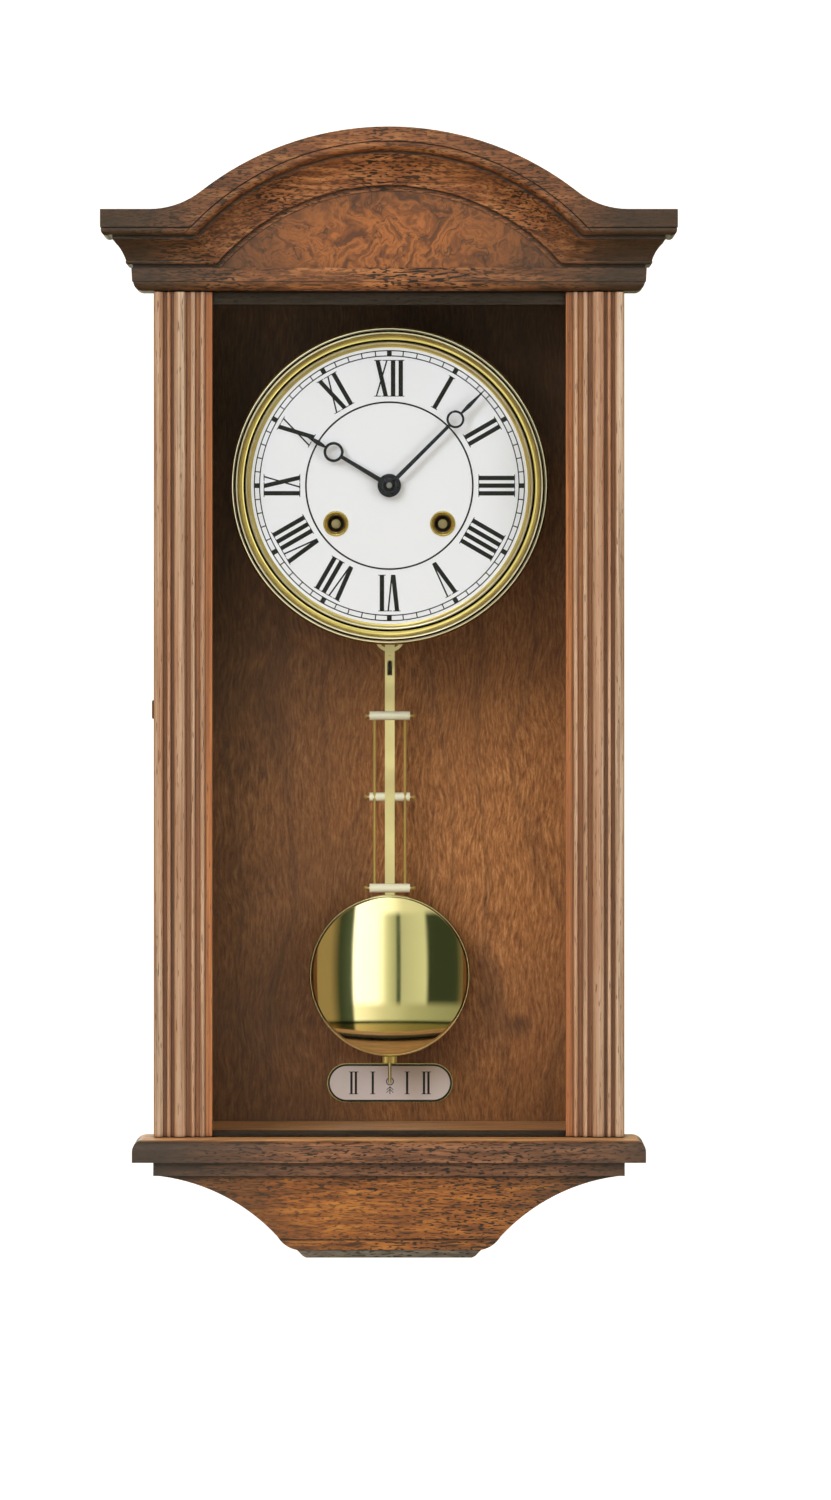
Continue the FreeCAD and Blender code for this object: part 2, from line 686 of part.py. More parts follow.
def front_plate():
    plate = bored(plate_blank(FRONT_PLATE), FRONT_PLATE, SHORT_ARBORS[:4], PIVOT_HOLE)
    plate = bored(plate, FRONT_PLATE, (GOING_AT, STRIKE_AT), WIND_ARBOR_R + RUNNING)
    plate = bored(plate, FRONT_PLATE, (CENTRE_AT,), ARBOR_R + RUNNING)
    return bored(plate, FRONT_PLATE, (HAMMER_AT, (0.0, SWING_Z), MINUTE_WHEEL_AT), PIVOT_HOLE)


def back_plate():
    plate = bored(plate_blank(BACK_PLATE), BACK_PLATE, SHORT_ARBORS[:4], PIVOT_HOLE)
    plate = bored(plate, BACK_PLATE, (GOING_AT, STRIKE_AT, CENTRE_AT), ARBOR_R + RUNNING)
    return bored(plate, BACK_PLATE, (HAMMER_AT, (0.0, SWING_Z)), ARBOR_R + 0.5)


def plate_pillars():
    return compound([rod_y(x, DIAL_Z + z, FRONT_PLATE[1], BACK_PLATE[0], 2.6) for x, z in PILLAR_POINTS])


def hexagon_y(x, z, y0, y1, radius):
    corners = [(x + radius * math.cos(k * math.pi / 3), z + radius * math.sin(k * math.pi / 3))
               for k in range(6)]
    return plate_xz(corners, y0, y1)


def pillar_nuts():
    nuts = [hexagon_y(x, DIAL_Z + z, FRONT_PLATE[0] - 2.0, FRONT_PLATE[0], 3.0) for x, z in PILLAR_POINTS]
    nuts += [hexagon_y(x, DIAL_Z + z, BACK_PLATE[1], BACK_PLATE[1] + 2.0, 3.0) for x, z in PILLAR_POINTS]
    return compound(nuts)


def movement_brackets():
    """Two steel brackets that carry the movement on the back board."""
    inner = PLATE_HALF_WIDTH
    low, high = BRACKET_SPAN
    web = box(inner, inner + 1.6, FRONT_PLATE[0], -BOARD, low, high)
    foot = box(inner, inner + 12, -BOARD - 1.6, -BOARD, low, high)
    holes = [rod_y(BRACKET_SCREW_X, z, -BOARD - 2, -BOARD + 1, 1.9) for z in BRACKET_SCREW_Z]
    bracket = fuse([web, foot]).cut(compound(holes))
    return compound([bracket, mirrored(bracket)])


def bracket_screws():
    y = -BOARD - 1.6
    outline = [(0, y - 1.6), (1.6, y - 1.5), (3.2, y), (1.8, y), (1.8, y + 7), (0, y + 9)]
    screws = []
    for side in (-1, 1):
        for z in BRACKET_SCREW_Z:
            screws.append(revolved_y(outline, side * BRACKET_SCREW_X, z))
    return compound(screws)


def back_board_finished():
    return back_board().cut(bracket_screws()).cut(hanger_screws())


# ---- wheels ----
def arbor(at, y0=FRONT_PLATE[0] - 0.3, y1=BACK_PLATE[1] + 0.3):
    """Plain arbor with a thinner pivot in each plate."""
    x, z = at
    body = rod_y(x, z, FRONT_PLATE[1] + 0.3, BACK_PLATE[0] - 0.3, ARBOR_R)
    return fuse([body, rod_y(x, z, y0, y1, PIVOT_PIN)])


def barrel(at, gear_y, tooth_angle):
    """Hollow drum that holds the mainspring, with the great wheel on one end."""
    x, z = at
    drum = rod_y(x, z, BARREL_Y[0], BARREL_Y[1], BARREL_R)
    cavity = rod_y(x, z, BARREL_Y[0] + 1.2, BARREL_Y[1] - 1.2, BARREL_R - 1.0)
    wheel = gear(at, BARREL_TEETH, BARREL_MODULE, gear_y[0], gear_y[1], 0, tooth_angle)
    hole = rod_y(x, z, BARREL_Y[0] - 5, BARREL_Y[1] + 5, WIND_ARBOR_R + RUNNING)
    return fuse([drum, wheel]).cut(cavity).cut(hole)


def mainspring(at):
    """Coiled spring, drawn as the ring of space that its turns fill."""
    return ring_y(at[0], at[1], BARREL_Y[0] + 1.5, BARREL_Y[1] - 1.5, BARREL_R - 1.0, 9.0)


def winding_arbor(at):
    """Arbor with a squared front end for the key and a ratchet wheel behind the dial."""
    x, z = at
    front = DIAL_FRONT + 0.6
    shaft = rod_y(x, z, front + 6, BACK_PLATE[0] - 0.3, WIND_ARBOR_R)
    tail = rod_y(x, z, BACK_PLATE[0] - 0.4, BACK_PLATE[1] + 0.3, ARBOR_R)
    square = box(x - 1.75, x + 1.75, front, front + 6.5, z - 1.75, z + 1.75)
    step = 360.0 / RATCHET_TEETH
    points = []
    for tooth in range(RATCHET_TEETH):
        for radius, offset in ((RATCHET_R, 0.0), (RATCHET_R - 1.3, 0.12)):
            angle = math.radians((tooth + offset) * step)
            points.append((x + radius * math.cos(angle), z + radius * math.sin(angle)))
    return fuse([shaft, tail, square, plate_xz(points, RATCHET_Y[0], RATCHET_Y[1])])


def click(side):
    """Pawl that rides just over the ratchet's teeth, on its shoulder screw."""
    x = side * WIND_X
    pivot_z = WIND_Z - RATCHET_R - 5.2
    y0, y1 = RATCHET_Y
    arm = plate_xz([(x - 2.2, pivot_z), (x + 2.2, pivot_z), (x + 0.9, pivot_z + 4.6),
                    (x - 0.9, pivot_z + 4.6)], y0, y1)
    boss = rod_y(x, pivot_z, y0, y1, 2.6)
    return fuse([arm, boss]).cut(rod_y(x, pivot_z, y0 - 1, y1 + 1, PIVOT_HOLE))


def click_screws():
    screws = []
    for side in (-1, 1):
        x = side * WIND_X
        z = WIND_Z - RATCHET_R - 5.2
        screws.append(fuse([rod_y(x, z, RATCHET_Y[0] - 0.3, FRONT_PLATE[0], PIVOT_PIN),
                            rod_y(x, z, RATCHET_Y[0] - 1.4, RATCHET_Y[0] - 0.3, 2.4)]))
    return compound(screws)


def centre_arbor():
    """Arbor that turns once an hour, with its pinion, wheel and the cannon pinion for the motion work."""
    x, z = CENTRE_AT
    shaft = rod_y(x, z, -110.8, BACK_PLATE[1] + 0.3, ARBOR_R)
    to_barrel = heading(CENTRE_AT, GOING_AT)
    pinion = gear(CENTRE_AT, CENTRE_PINION, BARREL_MODULE, -67.0, -63.0, 0,
                  to_barrel + math.pi / CENTRE_PINION)
    wheel = gear(CENTRE_AT, CENTRE_TEETH, TRAIN_MODULE, -60.0, -58.8, 0, heading(CENTRE_AT, THIRD_AT))
    wheel = crossed_out(wheel, CENTRE_AT, 16.2, 4.5, -60.0, -58.8)
    cannon = gear(CENTRE_AT, CANNON_TEETH, TRAIN_MODULE, -93.4, -90.4, 0,
                  heading(CENTRE_AT, MINUTE_WHEEL_AT) + math.pi / CANNON_TEETH)
    return fuse([shaft, pinion, wheel, cannon])


def third_wheel():
    pinion = gear(THIRD_AT, THIRD_PINION, TRAIN_MODULE, -61.0, -57.8, 0,
                  heading(THIRD_AT, CENTRE_AT) + math.pi / THIRD_PINION)
    wheel = gear(THIRD_AT, THIRD_TEETH, TRAIN_MODULE, -70.2, -69.2, 0, heading(THIRD_AT, ESCAPE_AT))
    wheel = crossed_out(wheel, THIRD_AT, 15.0, 4.0, -70.2, -69.2)
    return fuse([arbor(THIRD_AT), pinion, wheel])


def escape_wheel():
    x, z = ESCAPE_AT
    pinion = gear(ESCAPE_AT, ESCAPE_PINION, TRAIN_MODULE, -71.2, -68.2, 0,
                  heading(ESCAPE_AT, THIRD_AT) + math.pi / ESCAPE_PINION)
    step = 2 * math.pi / ESCAPE_TEETH
    points = []
    for tooth in range(ESCAPE_TEETH):
        for radius, offset in ((ESCAPE_R, 0.0), (ESCAPE_R - 2.2, 0.25), (ESCAPE_R - 2.2, 0.75)):
            angle = (tooth + offset) * step
            points.append((x + radius * math.cos(angle), z + radius * math.sin(angle)))
    wheel = crossed_out(plate_xz(points, -76.0, -75.2), ESCAPE_AT, 7.6, 3.0, -76.0, -75.2, 4)
    return fuse([arbor(ESCAPE_AT), pinion, wheel])


def minute_wheel():
    """Motion-work wheel and pinion on their own stud."""
    x, z = MINUTE_WHEEL_AT
    hour_module = 2 * MOTION_DISTANCE / (MINUTE_PINION + HOUR_TEETH)
    back = heading(MINUTE_WHEEL_AT, CENTRE_AT)
    wheel = gear(MINUTE_WHEEL_AT, MINUTE_TEETH, TRAIN_MODULE, -92.6, -91.4, 0, back)
    pinion = gear(MINUTE_WHEEL_AT, MINUTE_PINION, hour_module, -97.2, -92.6, 0,
                  back + math.pi / MINUTE_PINION)
    return fuse([wheel, pinion, rod_y(x, z, -91.4, FRONT_PLATE[1], PIVOT_PIN)])


def hour_wheel():
    """Hour wheel with its pipe round the centre arbor."""
    hour_module = 2 * MOTION_DISTANCE / (MINUTE_PINION + HOUR_TEETH)
    wheel = gear(CENTRE_AT, HOUR_TEETH, hour_module, -96.4, -95.0, 0, heading(CENTRE_AT, MINUTE_WHEEL_AT))
    pipe = rod_y(0, DIAL_Z, -105.9, -95.0, 3.0)
    return fuse([wheel, pipe]).cut(rod_y(0, DIAL_Z, -107, -94, ARBOR_R + RUNNING))


def anchor():
    """Recoil anchor with its arbor and the crutch that leads the pendulum."""
    z = SWING_Z
    shaft = rod_y(0, z, FRONT_PLATE[0] - 0.3, -43.4, PIVOT_PIN)
    arms = plate_xz([(-12.2, z - 9.5), (-9.6, z - 9.0), (-7.5, z - 2.5), (7.5, z - 2.5), (9.6, z - 9.0),
                     (12.2, z - 9.5), (9.0, z + 2.2), (-9.0, z + 2.2)], -76.2, -75.0)
    crutch = box(-1.0, 1.0, -44.6, -43.4, z - 44.0, z)
    collar = rod_y(0, z, -44.6, -43.4, 2.6)
    fork_back = box(-3.6, 3.6, -44.6, -43.4, z - 45.5, z - 43.0)
    prongs = [box(s - 0.6, s + 0.6, -44.6, -33.6, z - 45.5, z - 43.0) for s in (-3.0, 3.0)]
    return fuse([shaft, arms, crutch, collar, fork_back] + prongs)


# ---- striking work ----
def strike_second_wheel():
    to_barrel = heading(STRIKE_WHEEL_AT, STRIKE_AT)
    pinion = gear(STRIKE_WHEEL_AT, STRIKE_PINION, BARREL_MODULE, -84.8, -81.0, 0,
                  to_barrel + math.pi / STRIKE_PINION)
    wheel = gear(STRIKE_WHEEL_AT, STRIKE_TEETH, STRIKE_MODULE, -62.4, -61.4, 0,
                 heading(STRIKE_WHEEL_AT, FLY_AT))
    pins = []
    for k in range(8):
        angle = k * math.pi / 4
        x = STRIKE_WHEEL_AT[0] + PIN_CIRCLE_R * math.cos(angle)
        z = STRIKE_WHEEL_AT[1] + PIN_CIRCLE_R * math.sin(angle)
        pins.append(rod_y(x, z, -61.4, -58.6, 0.5))
    return fuse([arbor(STRIKE_WHEEL_AT), pinion, wheel] + pins)


def fly():
    """Air brake of the striking train: a thin vane on a pinion."""
    x, z = FLY_AT
    pinion = gear(FLY_AT, FLY_PINION, STRIKE_MODULE, -63.4, -60.4, 0,
                  heading(FLY_AT, STRIKE_WHEEL_AT) + math.pi / FLY_PINION)
    vane = box(x - 6.5, x + 6.5, -79.0, -66.0, z - 0.3, z + 0.3)
    return fuse([arbor(FLY_AT), pinion, vane])


def hammer():
    """Striking hammer: an arbor in the plates, an arm behind them and a headed rod by the gong."""
    x, z = HAMMER_AT
    shaft = rod_y(x, z, FRONT_PLATE[0] - 0.3, -42.4, PIVOT_PIN)
    collar = rod_y(x, z, -44.0, -42.4, 3.0)
    arm = box(x - 1.5, x + 1.5, -44.0, -42.4, GONG_Z - 1.5, z)
    post = rod_y(x, GONG_Z, -44.0, GONG_Y + 2, 1.4)
    head = rod_x(x - 4.2, x + 3.4, GONG_Y, GONG_Z, 3.6)
    return fuse([shaft, collar, arm, post, head])


def gong_coil():
    """Flat wire coil: half turns of growing radius, bent out to the block at its inner end."""
    half_pitch = 3.0
    inner = 8.0
    edges = []
    centre = 0.0
    radius = inner
    side = 1
    while radius <= GONG_R:
        start = V(centre - side * radius, GONG_Y, GONG_Z)
        crest = V(centre, GONG_Y, GONG_Z + side * radius)
        end = V(centre + side * radius, GONG_Y, GONG_Z)
        edges.append(Part.Arc(start, crest, end).toShape())
        radius += half_pitch
        centre = end.x - side * radius
        side = -side
    wire = Part.Wire(edges)
    first = edges[0].Vertexes[0].Point
    section = Part.Wire(Part.makeCircle(GONG_WIRE, first, V(0, 0, 1)))
    return wire.makePipeShell([section], True, True)


def gong_block():
    """Iron block that clamps the inner end of the coil and is screwed to the back board."""
    block = rod_y(-6.2, GONG_Z - 3.4, GONG_Y - 4.5, -BOARD, 5.0)
    return block.cut(gong_coil())


# ---- pendulum ----
def suspension_cock():
    """Bracket on the back plate with the brass block that grips the suspension spring."""
    z = SWING_Z
    arm = box(-7, 7, BACK_PLATE[1], PENDULUM_Y + 3, z + 2.6, z + 5.0)
    foot = box(-7, 7, BACK_PLATE[1], BACK_PLATE[1] + 1.6, z + 2.6, PLATE_TOP)
    block = box(-4, 4, PENDULUM_Y - 2.4, PENDULUM_Y + 2.4, z + 0.8, z + 2.7)
    return fuse([arm, foot, block])


def suspension_spring():
    """Thin steel strip and the lower grip block with its cross pin."""
    z = SWING_Z
    strip = box(-3, 3, PENDULUM_Y - 0.2, PENDULUM_Y + 0.2, z - 9, z + 0.4)
    grip = box(-3.6, 3.6, PENDULUM_Y - 1.6, PENDULUM_Y + 1.6, z - 14, z - 9)
    return fuse([strip, grip])


def pendulum_leader():
    """Flat leader that hangs from the spring, ending in a round stirrup with the pin for the hook."""
    y0, y1 = LEADER_Y
    strip = box(-2.0, 2.0, y0, y1, STIRRUP_Z + STIRRUP_R - 1, SWING_Z - 14)
    bow = ring_y(0, STIRRUP_Z, y0, y1, STIRRUP_R, STIRRUP_R - 1.9)
    pin = rod_x(1 - STIRRUP_R, STIRRUP_R - 1, (y0 + y1) / 2, STIRRUP_Z, HOOK_PIN_R)
    return fuse([strip, bow, pin])


def pendulum_rod():
    """Flat brass rod: a slotted upper end hooked back over the leader's pin, a thin stem at the bottom."""
    half = ROD_WIDTH / 2
    y0 = PENDULUM_Y - 0.8
    y1 = PENDULUM_Y + 0.8
    stem_top = BOB_Z + 12.0
    blade = box(-half, half, y0, y1, stem_top, STIRRUP_Z + 2.5)
    slot = box(-0.7, 0.7, y0 - 1, y1 + 1, SLOT_END_Z, SLOT_END_Z + 10.4)
    hook = box(-half, half, y0, LEADER_Y[1] + 0.6, STIRRUP_Z - 0.4, STIRRUP_Z + 2.5)
    eye = rod_x(-half - 1, half + 1, sum(LEADER_Y) / 2, STIRRUP_Z, HOOK_PIN_R + 0.02)
    stem = rod_z(0, PENDULUM_Y, ROD_END_Z, stem_top + 0.5, 0.95)
    return fuse([blade.cut(slot), hook.cut(eye), stem])


def rod_pin():
    """Short cross pin through the top of the slot."""
    return rod_y(0, SLOT_END_Z + 9.0, PENDULUM_Y - 2.6, PENDULUM_Y + 0.8, 1.3)


def pendulum_rod_finished():
    return pendulum_rod().cut(rod_pin())


def cross_bar(z, bar_y):
    """Turned bar with a small neck and ball on each end."""
    half = BAR_HALF
    shapes = [rod_x(-half, half, bar_y, z, BAR_R)]
    for side in (-1, 1):
        start = half if side > 0 else -half - 1.6
        shapes.append(rod_x(start, start + 1.6, bar_y, z, 0.7))
        shapes.append(Part.makeSphere(1.15, V(side * (half + 2.2), bar_y, z)))
    bar = fuse(shapes)
    notch = box(-ROD_WIDTH / 2, ROD_WIDTH / 2, PENDULUM_Y - 0.8, PENDULUM_Y + 0.8, z - 5, z + 5)
    return bar.cut(notch)


def cross_bars():
    """Upper and lower bars lie over the front of the rod, the middle one behind it."""
    front = PENDULUM_Y - 1.7
    behind = PENDULUM_Y + 1.7
    bars = [cross_bar(z, y) for z, y in zip(BAR_HEIGHTS, (front, behind, front))]
    return compound([bar.cut(side_rods()) for bar in bars])


def side_rods():
    low = BAR_HEIGHTS[2]
    high = BAR_HEIGHTS[0]
    return compound([rod_z(s * SIDE_ROD_X, PENDULUM_Y, low, high, SIDE_ROD_R) for s in (-1, 1)])


def dome(radius, crown, y_edge, direction):
    """Solid cap of a sphere whose flat face is at y_edge."""
    sphere_r = (radius ** 2 + crown ** 2) / (2 * crown)
    ball = Part.makeSphere(sphere_r, V(0, y_edge - direction * (sphere_r - crown), BOB_Z))
    y0, y1 = sorted((y_edge, y_edge + direction * (crown + 1)))
    return ball.common(rod_y(0, BOB_Z, y0, y1, radius))


def bob_channel():
    """Way for the stem and the lower end of the rod, wide enough for the regulating travel."""
    way = box(-1.3, 1.3, PENDULUM_Y - 1.3, PENDULUM_Y + 1.3, BOB_Z - BOB_R - 1, BOB_Z + BOB_R + 1)
    blade_way = box(-ROD_WIDTH / 2 - 0.3, ROD_WIDTH / 2 + 0.3, PENDULUM_Y - 1.3, PENDULUM_Y + 1.3,
                    BOB_Z + 7, BOB_Z + BOB_R + 1)
    return fuse([way, blade_way])


def bob_shell():
    """Polished brass front of the bob, a shallow dome with a rolled edge."""
    outer = dome(BOB_R, 10.0, PENDULUM_Y, -1)
    inner = dome(BOB_R - 1.4, 9.0, PENDULUM_Y + 0.01, -1)
    return outer.cut(inner).cut(bob_channel())


def bob_weight():
    """Iron weight inside the shell, closed by a shallow back."""
    front = dome(BOB_R - 1.5, 8.8, PENDULUM_Y, -1)
    back = dome(BOB_R - 1.5, 4.0, PENDULUM_Y, 1)
    return fuse([front, back]).cut(bob_channel())


def rating_nut():
    """Knurled nut under the bob."""
    teeth = 24
    points = []
    for k in range(2 * teeth):
        radius = 4.1 if k % 2 else 3.8
        angle = k * math.pi / teeth
        points.append(V(radius * math.cos(angle), PENDULUM_Y + radius * math.sin(angle), NUT_Z - 1.8))
    body = Part.Face(Part.makePolygon(points + points[:1])).extrude(V(0, 0, 3.5))
    return body.cut(rod_z(0, PENDULUM_Y, NUT_Z - 3, NUT_Z + 3, 0.95 + RUNNING))


# ---- beat plate ----
def beat_plate():
    """Long plaque with round ends on the back board, behind the tip of the pendulum."""
    half = 35.0
    end_r = 10.8
    z = 85.8
    y0 = -BOARD - 1.0
    bar = box(end_r - half, half - end_r, y0, -BOARD, z - end_r, z + end_r)
    ends = [rod_y(s * (half - end_r), z, y0, -BOARD, end_r) for s in (-1, 1)]
    return fuse([bar] + ends)


# ---- write every node ----
def to_row_frame(shape):
    result = shape.copy()
    result.translate(V(0, 0, -HANGER_Z))
    return result


NODES = {
    "back_board": back_board_finished(),
    "side_panels": both_sides(side_panel_right()),
    "top_board": top_board(),
    "crown_moulding": crown_moulding(),
    "tympanum_panel": tympanum_panel(),
    "frieze_rail": frieze_rail(),
    "crown_returns": both_sides(crown_return_right()),
    "base_plate": base_plate(),
    "under_board": under_board(),
    "drop_front": drop_front(),
    "drop_body": drop_body(),
    "drop_strip": drop_strip(),
    "wall_hanger": wall_hanger(),
    "case_fasteners": compound([hanger_screws(), bracket_screws()]),
    "door_stile_right": door_stile_right(),
    "door_stile_left": door_stile_left(),
    "door_rails": door_rails(),
    "door_glass": door_glass(),
    "glass_beads": glass_beads(),
    "door_pivot_pins": door_pivot_pins(),
    "door_pull": door_pull(),
    "door_catch": compound([catch_block(), catch_magnet()]),
    "catch_strike": catch_strike(),
    "beat_plate": beat_plate(),
    "dial_plate": dial_plate(),
    "dial_bezel": dial_bezel(),
    "winding_grommets": winding_grommets(),
    "hour_hand": hour_hand(),
    "minute_hand": minute_hand(),
    "hand_nut": hand_nut(),
    "front_plate": front_plate(),
    "back_plate": back_plate(),
    "movement_pillars": compound([plate_pillars(), dial_feet()]),
    "pillar_nuts": pillar_nuts(),
    "movement_brackets": movement_brackets(),
    "going_barrel": compound([barrel(GOING_AT, GOING_GEAR_Y, heading(GOING_AT, CENTRE_AT)),
                              mainspring(GOING_AT)]),
    "strike_barrel": compound([barrel(STRIKE_AT, STRIKE_GEAR_Y, heading(STRIKE_AT, STRIKE_WHEEL_AT)),
                               mainspring(STRIKE_AT)]),
    "going_winding_arbor": winding_arbor(GOING_AT),
    "strike_winding_arbor": winding_arbor(STRIKE_AT),
    "winding_clicks": compound([click(-1), click(1), click_screws()]),
    "centre_arbor": centre_arbor(),
    "third_wheel": third_wheel(),
    "escape_wheel": escape_wheel(),
    "minute_wheel": minute_wheel(),
    "hour_wheel": hour_wheel(),
    "anchor": anchor(),
    "strike_second_wheel": strike_second_wheel(),
    "fly": fly(),
    "hammer": hammer(),
    "gong_coil": gong_coil(),
    "gong_block": gong_block(),
    "suspension_cock": suspension_cock(),
    "suspension_spring": suspension_spring(),
    "pendulum_leader": pendulum_leader(),
    "pendulum_rod": compound([pendulum_rod_finished(), rod_pin()]),
    "cross_bars": cross_bars(),
    "side_rods": side_rods(),
    "bob_shell": bob_shell(),
    "bob_weight": bob_weight(),
    "rating_nut": rating_nut(),
}

os.makedirs("parts", exist_ok=True)
for node, shape in NODES.items():
    to_row_frame(shape).exportStep("parts/" + node + ".step")
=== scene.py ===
import math

import bmesh
import bpy
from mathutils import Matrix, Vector


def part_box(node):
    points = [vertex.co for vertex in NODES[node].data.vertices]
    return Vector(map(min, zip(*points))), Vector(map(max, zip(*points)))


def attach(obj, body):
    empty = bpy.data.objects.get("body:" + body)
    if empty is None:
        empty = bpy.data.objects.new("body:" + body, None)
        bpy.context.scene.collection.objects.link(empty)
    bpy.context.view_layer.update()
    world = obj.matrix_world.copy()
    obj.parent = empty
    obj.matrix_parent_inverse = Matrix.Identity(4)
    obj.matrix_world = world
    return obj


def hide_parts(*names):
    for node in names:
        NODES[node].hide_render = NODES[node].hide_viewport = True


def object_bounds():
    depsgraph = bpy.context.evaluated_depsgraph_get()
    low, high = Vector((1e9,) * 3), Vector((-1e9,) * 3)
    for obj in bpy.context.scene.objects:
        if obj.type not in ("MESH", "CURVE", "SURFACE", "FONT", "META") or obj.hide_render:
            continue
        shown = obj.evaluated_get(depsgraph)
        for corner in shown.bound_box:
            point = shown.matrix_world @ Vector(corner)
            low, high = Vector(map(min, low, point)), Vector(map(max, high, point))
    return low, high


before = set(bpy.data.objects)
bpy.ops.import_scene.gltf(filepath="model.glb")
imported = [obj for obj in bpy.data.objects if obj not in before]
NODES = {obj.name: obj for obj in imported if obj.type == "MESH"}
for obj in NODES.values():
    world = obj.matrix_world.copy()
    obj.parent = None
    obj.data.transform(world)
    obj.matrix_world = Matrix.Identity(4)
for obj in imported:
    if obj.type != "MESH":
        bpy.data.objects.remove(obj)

CAD_BOX = [list(corner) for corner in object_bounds()]
METRES_PER_MM = 0.001

# ---- places taken from the frame ----
DIAL_LOW, DIAL_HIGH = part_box("dial_plate")
DIAL_X = (DIAL_LOW[0] + DIAL_HIGH[0]) / 2
DIAL_Z = (DIAL_LOW[2] + DIAL_HIGH[2]) / 2
DIAL_FACE = DIAL_LOW[1]
PLAQUE_LOW, PLAQUE_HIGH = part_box("beat_plate")
PLAQUE_Z = (PLAQUE_LOW[2] + PLAQUE_HIGH[2]) / 2
PLAQUE_FACE = PLAQUE_LOW[1]
TYMPANUM_LOW, TYMPANUM_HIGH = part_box("tympanum_panel")
BOB_LOW, BOB_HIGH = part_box("bob_shell")
CASE_TOP = CAD_BOX[1][2]
CASE_BOTTOM = CAD_BOX[0][2]


def mm(value):
    return value * METRES_PER_MM


# ---- camera and light ----
CAMERA_X = mm(14.3)
CAMERA_Y = -3.87
CAMERA_ABOVE_BOTTOM = mm(334.2)
LENS = 165.5
SHIFT_Y = -0.074
SENSOR_WIDTH = 36
CLIP_END = 50
LIGHT_COLOUR = (0.92, 0.97, 1.06)


def make_camera():
    data = bpy.data.cameras.new("camera")
    data.lens = LENS
    data.sensor_width = SENSOR_WIDTH
    data.shift_y = SHIFT_Y
    data.clip_end = CLIP_END
    camera = bpy.data.objects.new("camera", data)
    camera.location = (CAMERA_X, CAMERA_Y, CASE_BOTTOM + CAMERA_ABOVE_BOTTOM)
    camera.rotation_euler = (math.pi / 2, 0, 0)
    bpy.context.collection.objects.link(camera)
    bpy.context.scene.camera = camera


def area_light(name, place, target, width, height, power):
    data = bpy.data.lights.new(name, "AREA")
    data.shape = "RECTANGLE"
    data.size = width
    data.size_y = height
    data.energy = power
    data.color = LIGHT_COLOUR
    light = bpy.data.objects.new(name, data)
    light.location = place
    aim = Vector(target) - Vector(place)
    light.rotation_euler = aim.to_track_quat("-Z", "Y").to_euler()
    light.visible_glossy = False
    light.visible_transmission = False
    bpy.context.collection.objects.link(light)


def make_lights():
    middle = (0, -0.08, (CASE_TOP + CASE_BOTTOM) / 2)
    area_light("key_left", (-1.3, -2.3, 1.0), middle, 0.9, 1.4, 36)
    area_light("fill_right", (1.5, -1.7, 0.1), middle, 0.7, 1.5, 14.5)
    area_light("low_front", (0.2, -2.4, -1.1), middle, 1.6, 0.5, 6)


